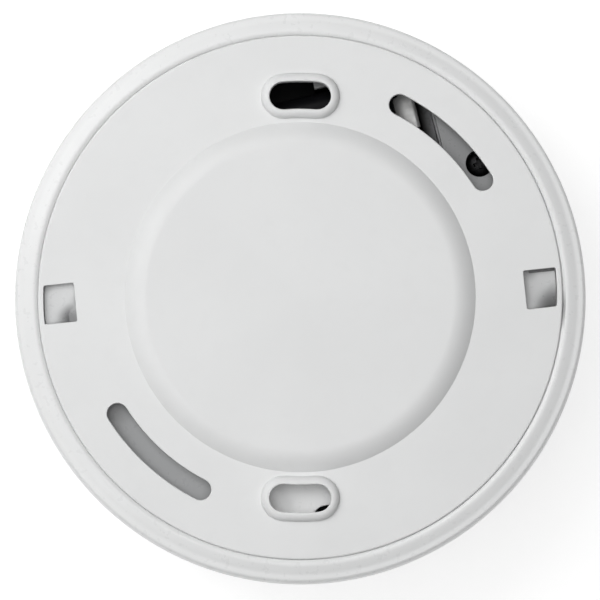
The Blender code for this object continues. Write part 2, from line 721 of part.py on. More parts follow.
def make_contacts(bay_frame):
    middle_v = sum(BATTERY_V) / 2.0
    margin = CONTACT_BLOCK_MARGIN
    carrier = span_block("contact_carrier", CONTACT_BLOCK_U, (POCKET_V[0] + margin, POCKET_V[1] - margin),
                         (BATTERY_BOTTOM + GAP, CONTACT_BLOCK_TOP))
    finish(carrier, BLACK, bay_frame)
    rear = CONTACT_BLOCK_U[0] - GAP
    top = CONTACT_Z[1]
    half = CONTACT_HALF_WIDTH
    for name, offset in (("positive_contact", TERMINAL_OFFSET), ("negative_contact", -TERMINAL_OFFSET)):
        v = middle_v + offset
        strip = span_block(name, (rear - CONTACT_SHEET, rear), (v - half, v + half), CONTACT_Z)
        tab = prism("contact_tab", rounded_rectangle((CONTACT_TAB_U, rear - SLIVER),
                                                     (v - half + SLIVER, v + half - SLIVER),
                                                     CONTACT_TAB_CORNER),
                    top - CONTACT_SHEET, top + SLIVER)
        add(strip, tab)
        tab.parent = bay_frame
        finish(strip, NICKEL, bay_frame)


def make_leads(bay_frame):
    """Two short leads from the contacts, out of the pocket and down to the board's edge."""
    routes = {
        "battery_lead_positive": ((26.5, 27.0, -20.3), (26.0, 24.0, -22.2), (25.5, 13.5, -22.6),
                                  (25.9, 11.4, -22.7), (26.6, 9.8, -22.5), (26.8, 8.0, -22.1),
                                  (27.1, 5.2, -20.9), (28.0, 2.7, -19.0)),
        "battery_lead_negative": ((26.6, 13.1, -20.6), (27.1, 11.3, -21.5), (27.9, 9.6, -21.6),
                                  (28.4, 8.2, -21.5), (29.2, 6.2, -21.0), (30.6, 4.2, -20.0),
                                  (31.4, 2.7, -19.0)),
    }
    looks = {"battery_lead_positive": RED_PVC, "battery_lead_negative": BLACK_PVC}
    for name, route in routes.items():
        finish(wire(name, smooth_route(route, 3), LEAD_RADIUS, 1), looks[name], bay_frame)


def make_board(bay_frame):
    edge = math.degrees(math.asin(BOARD_EDGE_V / BOARD_RADIUS))
    outline = arc((0.0, 0.0), BOARD_RADIUS, 180.0 - edge, 360.0 + edge, 30)
    board = prism("circuit_board", outline, BOARD_FRONT, BOARD_REAR)
    angle = WELL_ANGLES[2] - BAY_TURN
    notch = prism("board_notch", arc(polar(WELL_CENTRES, angle), BOARD_NOTCH, 0.0, 340.0, 17),
                  BOARD_FRONT - CLEAR, BOARD_REAR + CLEAR)
    cut(board, notch)
    notch.parent = bay_frame
    for place in BOARD_POSTS:
        hole = rod("board_hole", BOARD_HOLE_RADIUS, BOARD_FRONT - CLEAR, BOARD_REAR + CLEAR, place)
        hole.parent = bay_frame
        cut(board, hole)
    finish(board, BOARD_GREEN, bay_frame)


def make_chamber(bay_frame):
    centre = CHAMBER_CENTRE
    top = BOARD_FRONT - GAP
    profile = [(0.0, top), (CHAMBER_RADIUS, top), (CHAMBER_RADIUS, CHAMBER_FLOOR), (0.0, CHAMBER_FLOOR)]
    base = turned("chamber_base", profile, 36, centre)
    root = CHAMBER_FLOOR + EMBED
    tip = CHAMBER_CAP_TOP + GAP
    vanes = []
    for i in range(VANE_COUNT):
        angle = 360.0 * i / VANE_COUNT
        vanes.append(block("vane", (*VANE_SIZE, root - tip),
                           (*polar(VANE_RADIUS, angle, centre), (root + tip) / 2.0), angle + VANE_LEAN))
    for angle in (EMITTER_ANGLE, RECEIVER_ANGLE):
        vanes.append(block("optics_cradle", (*CRADLE_SIZE, root - SLIVER - OPTICS_HEIGHT),
                           (*polar(OPTICS_RADIUS, angle, centre), (root - SLIVER + OPTICS_HEIGHT) / 2.0),
                           angle))
    vanes.append(block("light_baffle", BAFFLE_SIZE, (*polar(BAFFLE_RADIUS, 270.0, centre),
                                                     root - BAFFLE_SIZE[2] / 2.0)))
    for tool in vanes:
        tool.parent = bay_frame
    add(base, *vanes)
    for angle in (EMITTER_ANGLE, RECEIVER_ANGLE):
        groove = rod("optics_groove", LAMP_RADIUS + GAP, -LAMP_GROOVE_HALF, LAMP_GROOVE_HALF)
        groove.location = [value * MM for value in (*polar(OPTICS_RADIUS, angle, centre), OPTICS_HEIGHT)]
        groove.rotation_euler = (0.0, math.radians(90.0), math.radians(angle))
        groove.parent = bay_frame
        cut(base, groove)
    finish(base, BLACK, bay_frame)

    rim = CHAMBER_CAP_TOP + CHAMBER_CAP_RIM
    cap_profile = [(0.0, CHAMBER_CAP_TOP), (CHAMBER_CAP_INNER, CHAMBER_CAP_TOP), (CHAMBER_CAP_INNER, rim),
                   (CHAMBER_RADIUS, rim), (CHAMBER_RADIUS, CHAMBER_CAP_BOTTOM + CHAMBER_CAP_BEVEL),
                   (CHAMBER_RADIUS - CHAMBER_CAP_BEVEL, CHAMBER_CAP_BOTTOM), (0.0, CHAMBER_CAP_BOTTOM)]
    finish(turned("chamber_cap", cap_profile, 36, centre), BLACK, bay_frame)
    finish(tube_ring("insect_mesh", *MESH_RADII, CHAMBER_CAP_TOP + GAP, CHAMBER_FLOOR - GAP, 36, centre),
           STEEL, bay_frame)

    for name, angle, look in (("infrared_emitter", EMITTER_ANGLE, LED_BLUE),
                              ("photodiode_receiver", RECEIVER_ANGLE, BLACK)):
        profile = [(0.0, 2.7), (0.8, 2.55), (1.35, 2.05), (LAMP_RADIUS, 1.3), (LAMP_RADIUS, -2.5),
                   (0.0, -2.5)]
        lamp = turned(name, profile, 14)
        lamp.location = [value * MM for value in (*polar(OPTICS_RADIUS, angle, centre), OPTICS_HEIGHT)]
        lamp.rotation_euler = (0.0, math.radians(-90.0), math.radians(angle))
        finish(lamp, look, bay_frame)


def make_sounder(bay_frame):
    centre = SOUNDER_CENTRE
    top = BOARD_FRONT - GAP
    inner = BRASS_RADIUS + GAP
    profile = [(0.0, top), (SOUNDER_RADIUS, top), (SOUNDER_RADIUS, SOUNDER_MOUTH), (inner, SOUNDER_MOUTH),
               (inner, SOUNDER_LEDGE), (BRASS_RADIUS - LEDGE_WIDTH, SOUNDER_LEDGE),
               (BRASS_RADIUS - LEDGE_WIDTH, SOUNDER_FLOOR), (0.0, SOUNDER_FLOOR)]
    cup = turned("sounder_cup", profile, 28, centre)
    spring_places = [polar(radius, angle, centre) for radius, angle in CONTACT_SPRING_PLACES]
    for place in spring_places:
        hole = rod("spring_hole", CONTACT_SPRING_HOLE, SOUNDER_FLOOR - CLEAR, top + CLEAR, place)
        hole.parent = bay_frame
        cut(cup, hole)
    finish(cup, BLACK, bay_frame)

    brass_top = SOUNDER_LEDGE - GAP
    brass_bottom = brass_top - BRASS_SHEET
    ceramic_bottom = brass_top + GLUE
    ceramic_top = ceramic_bottom + CERAMIC_SHEET
    finish(rod("piezo_disc", BRASS_RADIUS, brass_bottom, brass_top, centre, 32), BRASS, bay_frame)
    finish(rod("piezo_ceramic", CERAMIC_RADIUS, ceramic_bottom, ceramic_top, centre, 28), CERAMIC,
           bay_frame)

    ring = inner - GAP
    mouth = SOUNDER_MOUTH - GAP
    bevel_size = SOUNDER_CAP_BEVEL
    cap_profile = [(SOUNDER_BORE, mouth), (ring - CAP_RING, mouth), (ring - CAP_RING, brass_bottom - GAP),
                   (ring, brass_bottom - GAP), (ring, mouth), (SOUNDER_RADIUS, mouth),
                   (SOUNDER_RADIUS, SOUNDER_FRONT + bevel_size),
                   (SOUNDER_RADIUS - bevel_size, SOUNDER_FRONT), (SOUNDER_BORE, SOUNDER_FRONT)]
    finish(turned("sounder_cap", cap_profile, 28, centre), BLACK, bay_frame)

    end = CONTACT_SPRING_END
    for i, (place, touched) in enumerate(zip(spring_places, (ceramic_top, brass_top)), 1):
        path = helix(CONTACT_SPRING_RADIUS, top - end, touched + GAP + end, CONTACT_SPRING_TURNS, place, 8)
        coil = wire(f"piezo_contact_spring_{i}", path, CONTACT_SPRING_WIRE, 1)
        finish(coil, STEEL, bay_frame)


def make_small_parts(bay_frame):
    """The components that stand on the board."""
    rear = BOARD_REAR + GAP
    for i, place in enumerate(CAPACITOR_CENTRES, 1):
        profile = [(0.0, rear + 7.6), (2.8, rear + 7.6), (3.15, rear + 7.2), (3.15, rear + 1.6),
                   (2.85, rear + 1.3), (3.15, rear + 1.0), (3.15, rear), (0.0, rear)]
        finish(turned(f"electrolytic_capacitor_{i}", profile, 16, place), DARK_BLUE, bay_frame)
    coil_profile = [(0.0, rear + 8.0), (4.6, rear + 8.0), (4.6, rear + 6.8), (3.9, rear + 6.6),
                    (3.9, rear + 1.6), (4.6, rear + 1.4), (4.6, rear), (0.0, rear)]
    finish(turned("sounder_transformer", coil_profile, 20, TRANSFORMER_CENTRE), DARK_BROWN, bay_frame)
    for i, place in enumerate(RESISTOR_CENTRES, 1):
        profile = [(0.0, 3.2), (0.8, 3.1), (1.2, 2.6), (0.95, 1.7), (0.95, -1.7), (1.2, -2.6),
                   (0.8, -3.1), (0.0, -3.2)]
        resistor = turned(f"resistor_{i}", profile, 10)
        resistor.rotation_euler.y = math.radians(90.0)
        resistor.location = (place[0] * MM, place[1] * MM, (rear + RESISTOR_AXIS) * MM)
        finish(resistor, TAN, bay_frame)

    chip_u, chip_v = CHIP_CENTRE
    chip = block("detector_chip", CHIP_SIZE, (chip_u, chip_v, rear + CHIP_STANDOFF + CHIP_SIZE[2] / 2.0))
    for side in (-CHIP_LEG_OFFSET, CHIP_LEG_OFFSET):
        for i in range(CHIP_LEGS_PER_SIDE):
            along = (i - (CHIP_LEGS_PER_SIDE - 1) / 2.0) * CHIP_LEG_PITCH
            leg = block("chip_leg", CHIP_LEG_SIZE, (chip_u + along, chip_v + side,
                                                    rear + CHIP_LEG_SIZE[2] / 2.0))
            leg.parent = bay_frame
            add(chip, leg)
    finish(chip, BLACK, bay_frame)

    front = BOARD_FRONT - GAP
    led_profile = [(0.0, front), (1.95, front), (1.95, front - 1.0), (1.55, front - 1.0),
                   (1.55, front - 3.6), (1.1, front - 4.6), (0.0, front - LED_HEIGHT)]
    finish(turned("indicator_led", led_profile, 20, LED_CENTRE), LED_RED, bay_frame)
    guide_top = front - LED_HEIGHT - GAP
    guide_profile = [(0.0, guide_top), (2.5, guide_top), (2.5, guide_top - 0.8), (1.5, guide_top - 1.2),
                     (1.5, FRONT_FACE + 0.2), (1.2, FRONT_FACE), (0.0, FRONT_FACE)]
    finish(turned("light_guide", guide_profile, 20, LED_CENTRE), CLEAR_PLASTIC, bay_frame)


def make_switch_and_button():
    front = BOARD_FRONT - GAP
    case = block("test_switch_case", (SWITCH_SIDE, SWITCH_SIDE, SWITCH_HEIGHT),
                 (0.0, 0.0, front - SWITCH_HEIGHT / 2.0), BAY_TURN)
    bevel(case, SWITCH_BEVEL)
    cut(case, rod("plunger_hole", PLUNGER_RADIUS + GAP, front - SWITCH_HEIGHT - CLEAR,
                  front - PLUNGER_REAR + 2.0 * GAP))
    finish(case, BLACK)
    plunger_profile = [(0.0, front - PLUNGER_REAR), (PLUNGER_RADIUS, front - PLUNGER_REAR),
                       (PLUNGER_RADIUS, PLUNGER_TIP + 0.2), (PLUNGER_RADIUS - 0.2, PLUNGER_TIP),
                       (0.0, PLUNGER_TIP)]
    finish(turned("test_switch_plunger", plunger_profile, 20), IVORY)

    inner_face = FRONT_FACE + COVER_WALL
    profile = [(0.0, STEM_TIP), (BUTTON_STEM, STEM_TIP), (BUTTON_STEM, BUTTON_FLANGE_REAR),
               (BUTTON_FLANGE, BUTTON_FLANGE_REAR), (BUTTON_FLANGE, inner_face + GAP),
               (BUTTON_RADIUS, inner_face + GAP), (BUTTON_RADIUS, BUTTON_FACE + BUTTON_EDGE),
               (BUTTON_RADIUS - BUTTON_EDGE, BUTTON_FACE), (8.0, BUTTON_FACE + 0.25),
               (4.0, BUTTON_FACE + 0.5), (0.0, BUTTON_FACE + 0.6)]
    finish(turned("test_button", profile, 32), WHITE)
    coil = wire("button_spring", helix(SPRING_RADIUS, BUTTON_FLANGE_REAR + GAP + SPRING_WIRE,
                                       front - SPRING_WIRE, SPRING_TURNS, steps=9), SPRING_WIRE, 1)
    finish(coil, STEEL)


for old in list(bpy.data.objects):
    bpy.data.objects.remove(old)

PARTS = collection("smoke_alarm")
TOOLS = collection("smoke_alarm_tools")

WHITE = material("white_plastic", (0.80, 0.80, 0.79), 0.45)
IVORY = material("ivory_plastic", (0.72, 0.68, 0.58), 0.5)
BLACK = material("black_plastic", (0.02, 0.02, 0.022), 0.5)
DARK_STEEL = material("blackened_steel", (0.05, 0.05, 0.055), 0.4, 1.0)
STEEL = material("steel", (0.55, 0.55, 0.56), 0.3, 1.0)
NICKEL = material("nickel_plate", (0.72, 0.70, 0.66), 0.25, 1.0)
BRASS = material("brass", (0.75, 0.55, 0.25), 0.3, 1.0)
CERAMIC = material("piezo_ceramic_face", (0.62, 0.62, 0.60), 0.4)
BATTERY_JACKET = material("battery_jacket", (0.03, 0.03, 0.035), 0.35, 0.4)
RED_PVC = material("red_insulation", (0.55, 0.03, 0.02), 0.5)
BLACK_PVC = material("black_insulation", (0.02, 0.02, 0.02), 0.5)
BOARD_GREEN = material("board_laminate", (0.05, 0.22, 0.09), 0.4)
LED_BLUE = material("emitter_lens", (0.10, 0.12, 0.35), 0.15)
LED_RED = material("red_led_lens", (0.6, 0.03, 0.02), 0.15)
CLEAR_PLASTIC = material("clear_plastic", (0.85, 0.86, 0.86), 0.1)
DARK_BLUE = material("capacitor_sleeve", (0.03, 0.05, 0.14), 0.4)
DARK_BROWN = material("transformer_core", (0.09, 0.06, 0.05), 0.6)
TAN = material("resistor_body", (0.62, 0.47, 0.30), 0.5)

turned_frame = bpy.data.objects.new("bay_frame", None)
turned_frame.rotation_euler.z = math.radians(BAY_TURN)
PARTS.objects.link(turned_frame)

make_mounting_plate()
make_rear_housing(turned_frame)
make_front_cover(turned_frame)
make_screws(turned_frame)
make_battery(turned_frame)
make_contacts(turned_frame)
make_leads(turned_frame)
make_board(turned_frame)
make_chamber(turned_frame)
make_sounder(turned_frame)
make_small_parts(turned_frame)
make_switch_and_button()
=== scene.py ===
import math

import bmesh
import bpy
from mathutils import Matrix, Vector


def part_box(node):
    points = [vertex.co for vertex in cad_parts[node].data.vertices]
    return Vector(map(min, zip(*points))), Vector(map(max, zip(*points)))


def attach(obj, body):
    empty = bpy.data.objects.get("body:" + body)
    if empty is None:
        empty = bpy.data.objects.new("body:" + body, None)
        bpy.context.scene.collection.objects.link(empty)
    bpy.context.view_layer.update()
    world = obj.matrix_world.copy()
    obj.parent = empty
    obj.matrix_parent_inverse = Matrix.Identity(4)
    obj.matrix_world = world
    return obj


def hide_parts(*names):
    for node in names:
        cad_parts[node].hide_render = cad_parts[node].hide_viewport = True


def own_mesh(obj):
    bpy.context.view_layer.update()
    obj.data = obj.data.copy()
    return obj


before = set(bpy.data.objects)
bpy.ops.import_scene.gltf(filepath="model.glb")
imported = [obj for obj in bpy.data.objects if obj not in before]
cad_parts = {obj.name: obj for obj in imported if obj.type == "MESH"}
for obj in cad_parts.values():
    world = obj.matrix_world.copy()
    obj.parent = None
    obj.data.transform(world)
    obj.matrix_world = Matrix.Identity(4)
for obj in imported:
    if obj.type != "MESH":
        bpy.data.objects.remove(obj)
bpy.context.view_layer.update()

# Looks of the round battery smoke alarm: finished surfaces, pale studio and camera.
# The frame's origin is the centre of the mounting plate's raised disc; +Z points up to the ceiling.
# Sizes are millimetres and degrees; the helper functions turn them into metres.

MM = 0.001
TURN_STEPS = 192
SMALL_STEPS = 48
CLEAR = 1.0
EMBED = 0.5
GAP = 0.3
ALONG_Z = Matrix(((0, 0, 1, 0), (1, 0, 0, 0), (0, 1, 0, 0), (0, 0, 0, 1)))
ACROSS_Z = Matrix(((1, 0, 0, 0), (0, 0, -1, 0), (0, 1, 0, 0), (0, 0, 0, 1)))


def top_of(node):
    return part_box(node)[1][2] / MM


def bottom_of(node):
    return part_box(node)[0][2] / MM


def reach_of(node):
    """Radius of a round node, from its furthest point along +X."""
    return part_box(node)[1][0] / MM


# Mounting plate
PLATE_RADIUS = reach_of("mounting_plate") + 0.1
PLATE_FACE = -1.5
PLATE_UNDERSIDE = PLATE_FACE - 1.2
PLATE_EDGE_ROUND = 0.32
SKIRT_INNER = 44.7
SKIRT_BOTTOM = bottom_of("mounting_plate")
DISC_RADIUS = 30.5
DISC_SPREAD = 3.9
DISC_STEPS = 16
DISC_HOLLOW = DISC_RADIUS - 1.5
FACE_MARGIN = 0.2
BOSS_TOP = -0.15
BOSS_WIDTH = 7.9
BOSS_ROUND = 1.25
MOUTH_ROUND = 0.18
BOSS_MOUTH_ROUND = 0.22
WINDOW_MOUTH_ROUND = 0.1
SKIRT_CHAMFER = 0.2
SCREW_SLOT_RADIUS = 35.1
SCREW_SLOT_WIDTH = 4.8
SCREW_SLOT_SPAN = 9.7
SCREW_SLOT_ANGLES = (90.0, 270.0)
ARC_SLOT_RADIUS = 37.7
ARC_SLOT_WIDTH = 3.65
ARC_SLOT_SPAN = 30.1
ARC_SLOT_ANGLES = (47.65, 227.65)
WINDOW_ANGLES = (2.0, 181.6)
WINDOW_INNER = 39.1
WINDOW_WIDTH = 6.8
WINDOW_LEAN = 4.0
WINDOW_CORNER = 0.35
LEDGE_INNER = 41.6
LEDGE_TOP = -4.4
LEDGE_SPAN = 13.8
STOP_OFFSET = 6.9
STOP_SPAN = 1.8
STOP_INSET = 0.4
LEDGE_EDGE = 0.12

# Rear housing
PANEL_TOP = -6.0
PANEL_BOTTOM = -7.6
RECESS_RADIUS = PLATE_RADIUS + 0.02
RIM_TOP = -1.55
RIM_ROUND = (1.0, 0.42)
RIM_FLAT = (0.22, 0.03)
BAND_OUTER = 48.3
BAND_BLEND = 0.35
LIP_TOP = -1.95
LIP_ROUND = 0.62
LIP_FALL = 0.05
LIP_FOOT_ROUND = 0.15
LIP_RADIUS = reach_of("rear_housing")
LIP_BOTTOM = -4.1
WALL_OUTER = 47.9
HOOK_SPAN = 10.4
HOOK_TOP = -3.1
HOOK_BOTTOM = -4.1
HOOK_POST_INNER = 38.4
HOOK_POST_OUTER = 40.4
HOOK_TIP = 44.55
HOOK_FALL = 0.85
HOOK_FALL_ANGLE = -38.0
HOOK_INSET = 0.05
HOOK_FALL_SPAN = (0.2, 3.6)
REBATE_WIDTH = 0.5
REBATE_DEPTH = 0.85
WELL_ANGLES = (37.0, 157.0, 277.0)
WELL_CENTRES = 39.2
WELL_OUTER = 4.0
WELL_INNER = (2.38, 2.38, 2.72)
WELL_MOUTH = (0.06, 0.06, 0.20)
WELL_FLOOR = -8.5
WELL_BOTTOM = -10.0
SCREW_HOLE = 1.5
COVER_SCREW = (2.2, 1.6, 1.15, 11.0)

# Battery bay, in a frame turned about Z: U runs along the battery, V across it
BAY_TURN = 14.0
BATTERY_U = (-21.4, 24.0)
BATTERY_V = (7.8, 34.3)
BATTERY_TOP = top_of("battery_case")
BATTERY_BOTTOM = bottom_of("battery_case")
TERMINAL_HEIGHT = 3.0
TERMINAL_OFFSET = 6.35
END_PLATE = (0.2, 1.75)
END_PLATE_INSET = 1.65
SLEEVE_CORNER = 2.4
BAY_CLEARANCE = 0.5
BAY_WALL = 1.2
POCKET_U = 30.5
POCKET_V = (10.4, 31.7)
CONTACT_SHEET = 0.4
CONTACT_HALF_WIDTH = 3.2
CONTACT_Z = (-19.7, -7.85)
CONTACT_TAB_U = 24.15
CONTACT_BEND = 0.7
CONTACT_TAB_FALL = ((1.6, 0.08), (0.6, 0.3), (0.0, 0.62))
CONTACT_TAB_DEPTH = 1.2
CONTACT_TAB_SQUARE = 0.62
CONTACT_TAB_ROUND = 1.3
CONTACT_CROWN = 0.22
CONTACT_BLOCK_U = (28.1, 30.2)
RIB_TOP = -6.35
RIB_WIDTH = 0.3
LEAD_HOLE_U = (25.8, 29.1)
LEAD_HOLE_Z = (-23.5, -20.7)
NOTCH_U = (1.0, 11.3)
NOTCH_V = (33.0, 37.6)
NOTCH_FLOOR = -16.0
BOARD_POSTS = ((-38.0, 1.0), (37.5, 0.5), (12.0, -38.0))
BOARD_POST_RADIUS = 3.0
BOARD_POST_HOLE = 1.3
BOARD_POST_HOLE_DEPTH = 7.0
BOARD_REAR = top_of("circuit_board")

# Front cover
COVER_RADIUS = reach_of("front_cover")
COVER_WALL = 2.0
COVER_TOP = -4.4
COVER_INNER_TOP = 48.2
WIDEST = -9.0
MID_HEIGHT = -16.0
SHOULDER_TOP = -24.0
SHOULDER_RADIUS = 48.8
FRONT_FACE = bottom_of("front_cover")
FRONT_FLAT = 37.0
DISH_RADIUS = 13.6
DISH_FACE = FRONT_FACE + 0.4
POST_RADIUS = 3.2
POST_TOP = -10.3
VENT_COUNT = 28
VENT_WIDTH = 2.4
VENT_TOP = -22.0
VENT_BOTTOM = -32.0
VENT_SECTIONS = ((0.0, 43.7), (0.0, 47.0), (0.25, 52.7))
GRILLE_WIDTH = 1.6
GRILLE_PITCH = 3.2
GRILLE_COUNT = 5
GRILLE_REACH = 9.5
SOUNDER_CENTRE = (19.5, -16.0)
LED_CENTRE = (0.4, -21.0)
LED_HOLE = 1.8
COVER_EDGE = 0.4
DISH_EDGE = 0.3
HOLE_EDGE = 0.25
BULGE_PLACE = 0.24

# Test button
BUTTON_RADIUS = 11.0
BUTTON_HOLE = 11.3
BUTTON_FACE = bottom_of("test_button")
BUTTON_FLANGE = reach_of("test_button")
BUTTON_FLANGE_REAR = -31.8
BUTTON_STEM = 2.0
BUTTON_EDGE = 0.5
BUTTON_RIM = 0.8
BUTTON_DISH = 0.6
STEM_TIP = top_of("test_button")
SPRING_RADIUS = 5.8
SPRING_WIRE = 0.35
SPRING_TURNS = 6


# ---------------------------------------------------------------- shapes

def polar(radius, angle, centre=(0.0, 0.0)):
    turn = math.radians(angle)
    return (centre[0] + radius * math.cos(turn), centre[1] + radius * math.sin(turn))


def oval_arc(centre, across, rise, start, stop, count=8):
    """Points of a quarter or any other stretch of an ellipse, both ends included."""
    points = []
    for i in range(count + 1):
        turn = math.radians(start + (stop - start) * i / count)
        points.append((centre[0] + across * math.cos(turn), centre[1] + rise * math.sin(turn)))
    return points


def arc(centre, radius, start, stop, count=8):
    return oval_arc(centre, radius, radius, start, stop, count)


def mesh_object(name, shape):
    mesh = bpy.data.meshes.new(name)
    shape.normal_update()
    shape.to_mesh(mesh)
    shape.free()
    made = bpy.data.objects.new(name, mesh)
    bpy.context.scene.collection.objects.link(made)
    return made


def turned(name, profile, steps=TURN_STEPS, centre=(0.0, 0.0), turn=0.0):
    """A turned solid from (radius, height) points that run down its outer side.

    A profile that starts and ends on the axis is open there; any other one is a closed ring.
    """
    shape = bmesh.new()
    rings = []
    for radius, height in profile:
        count = steps if radius > 0.0 else 1
        rings.append([shape.verts.new((*[v * MM for v in polar(radius, turn + 360.0 * i / steps, centre)],
                                       height * MM)) for i in range(count)])
    if profile[0][0] > 0.0:
        rings.append(rings[0])
    for upper, lower in zip(rings, rings[1:]):
        for i in range(steps):
            j = (i + 1) % steps
            corners = [upper[i % len(upper)], lower[i % len(lower)],
                       lower[j % len(lower)], upper[j % len(upper)]]
            shape.faces.new(list(dict.fromkeys(corners)))
    return mesh_object(name, shape)


def lofted(name, sections, place=None):
    """A closed solid through outlines of equal length, each given with its height, lowest first."""
    shape = bmesh.new()
    rings = [[shape.verts.new((x * MM, y * MM, height * MM)) for x, y in outline]
             for outline, height in sections]
    for lower, upper in zip(rings, rings[1:]):
        for i in range(len(lower)):
            j = (i + 1) % len(lower)
            shape.faces.new((lower[i], lower[j], upper[j], upper[i]))
    shape.faces.new(rings[0][::-1])
    shape.faces.new(rings[-1])
    if place is not None:
        bmesh.ops.transform(shape, matrix=place, verts=shape.verts)
    return mesh_object(name, shape)


def slab(name, outline, bottom, top, top_edge=0.0, bottom_edge=0.0, place=None):
    """An upright solid with rounded edges; outline(grow) gives its outline, grown by that much."""
    sections = []
    if bottom_edge > 0.0:
        for inset, rise in arc((bottom_edge, bottom_edge), bottom_edge, 270.0, 180.0, 4):
            sections.append((outline(-inset), bottom + rise))
    else:
        sections.append((outline(0.0), bottom))
    if top_edge > 0.0:
        for inset, rise in arc((top_edge, -top_edge), top_edge, 180.0, 90.0, 4):
            sections.append((outline(-inset), top + rise))
    else:
        sections.append((outline(0.0), top))
    return lofted(name, sections, place)


def mouth_cutter(name, outline, face, far, flare, place=None):
    """A cutter from beyond a face to a far height, with a rounded mouth where it meets the face."""
    sign = 1.0 if face > far else -1.0
    sections = [(outline(0.0), far), (outline(0.0), face - sign * flare)]
    for i in range(1, 6):
        turn = math.radians(90.0 * i / 5)
        sections.append((outline(flare * (1.0 - math.cos(turn))),
                         face - sign * (flare - (flare + 0.004) * math.sin(turn))))
    sections.append((outline(flare), face + sign * CLEAR))
    return lofted(name, sections if sign > 0.0 else sections[::-1], place)


def rod(name, radius, bottom, top, centre=(0.0, 0.0), steps=SMALL_STEPS, edge=0.0):
    """An upright pin, its ends rounded where an edge is given."""
    profile = [(0.0, top)]
    profile += arc((radius - edge, top - edge), edge, 90.0, 0.0, 4) if edge else [(radius, top)]
    profile += arc((radius - edge, bottom + edge), edge, 0.0, -90.0, 4) if edge else [(radius, bottom)]
    return turned(name, profile + [(0.0, bottom)], steps, centre)


def combine(target, operation, tools):
    for tool in tools:
        step = target.modifiers.new(tool.name, "BOOLEAN")
        step.operation = operation
        step.object = tool
        step.solver = "MANIFOLD"


def add(target, *tools):
    combine(target, "UNION", tools)


def cut(target, *tools):
    combine(target, "DIFFERENCE", tools)


def settle(made):
    """Apply an object's modifiers and remove the tools that they used."""
    bpy.context.view_layer.update()
    graph = bpy.context.evaluated_depsgraph_get()
    mesh = bpy.data.meshes.new_from_object(made.evaluated_get(graph), depsgraph=graph)
    tools = [step.object for step in made.modifiers if step.type == "BOOLEAN"]
    made.modifiers.clear()
    made.data = mesh
    for tool in tools:
        bpy.data.objects.remove(tool)


def piece(made, look, body, slot, *nodes, sharp=32.0):
    """Finish a piece with its material and smooth shading, and let it stand for its CAD nodes."""
    if made.modifiers:
        settle(made)
    made.data.materials.clear()
    made.data.materials.append(look)
    made.data.shade_smooth()
    made.data.set_sharp_from_angle(angle=math.radians(sharp))
    weighted = made.modifiers.new("Weighted", "WEIGHTED_NORMAL")
    weighted.keep_sharp = True
    weighted.weight = 80
    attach(made, body)
    if nodes:
        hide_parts(*nodes)
    return made


def in_bay(matrix=None):
    """The bay's turned frame, after a further placing in it."""
    turn = Matrix.Rotation(math.radians(BAY_TURN), 4, "Z")
    return turn @ matrix if matrix is not None else turn


def along_u():
    """Turns a solid so that its height runs along the battery."""
    return in_bay(ALONG_Z)


def widen(span, by):
    return (span[0] - by, span[1] + by)


def bay_point(u, v):
    place = in_bay() @ Vector((u, v, 0.0))
    return (place.x, place.y)


def arc_slot(radius, width, middle, span, steps=10):
    """Outline of a slot that is bent round the plate's centre and has round ends."""
    start = middle - span / 2.0
    stop = middle + span / 2.0
    half = width / 2.0
    outline = arc((0.0, 0.0), radius + half, start, stop, steps * 2)
    outline += arc(polar(radius, stop), half, stop, stop + 180.0, steps)[1:-1]
    outline += arc((0.0, 0.0), radius - half, stop, start, steps * 2)
    outline += arc(polar(radius, start), half, start + 180.0, start + 360.0, steps)[1:-1]
    return outline


def ring_sector(inner, outer, middle, span, grow=0.0, steps=10):
    side = math.degrees(grow / outer)
    start = middle - span / 2.0 - side
    stop = middle + span / 2.0 + side
    return (arc((0.0, 0.0), outer + grow, start, stop, steps)
            + arc((0.0, 0.0), inner - grow, stop, start, steps))


def rounded_rectangle(u_range, v_range, radius, grow=0.0, steps=5):
    left, right = u_range[0] - grow, u_range[1] + grow
    low, high = v_range[0] - grow, v_range[1] + grow
    radius = max(radius + grow, 0.02)
    outline = []
    for corner, start in (((right - radius, high - radius), 0.0), ((left + radius, high - radius), 90.0),
                          ((left + radius, low + radius), 180.0), ((right - radius, low + radius), 270.0)):
        outline += arc(corner, radius, start, start + 90.0, steps)
    return outline


def round_hole(centre, radius):
    """The outline function of a round hole."""
    return lambda grow: arc(centre, radius + grow, 0.0, 352.5, 47)


def bay_block(name, u_range, v_range, corner, bottom, top, foot=0.0):
    """An upright block in the bay's frame, its lower edge rounded where a radius is given."""
    return slab(name, lambda grow: rounded_rectangle(u_range, v_range, corner, grow),
                bottom, top, 0.0, foot, in_bay())


def bay_opening(name, u_range, v_range, corner, face, far, flare):
    """A cutter in the bay's frame, with a rounded mouth in a face."""
    return mouth_cutter(name, lambda grow: rounded_rectangle(u_range, v_range, corner, grow),
                        face, far, flare, in_bay())


def window_outline(angle, grow=0.0):
    """A squarish window whose outer side follows the skirt and whose sides lean a little."""
    lean = math.radians(angle + WINDOW_LEAN)
    along = Vector((math.cos(lean), math.sin(lean)))
    across = Vector((-along.y, along.x))
    middle = Vector(polar((WINDOW_INNER + SKIRT_INNER) / 2.0, angle))
    reach = (SKIRT_INNER - WINDOW_INNER) / 2.0 + grow
    half = WINDOW_WIDTH / 2.0 + grow

    def corner(a, b):
        return tuple(middle + a * along + b * across)

    ends = [math.degrees(math.atan2(corner(reach, side)[1], corner(reach, side)[0])) % 360.0
            for side in (-half, half)]
    low = ends[0] - 360.0 if ends[0] > ends[1] else ends[0]
    sides = arc((0.0, 0.0), SKIRT_INNER - 0.02 + grow, low, ends[1], 8)
    return rounded_corners(sides + [corner(-reach, half), corner(-reach, -half)],
                           (0, 8, 9, 10), WINDOW_CORNER)


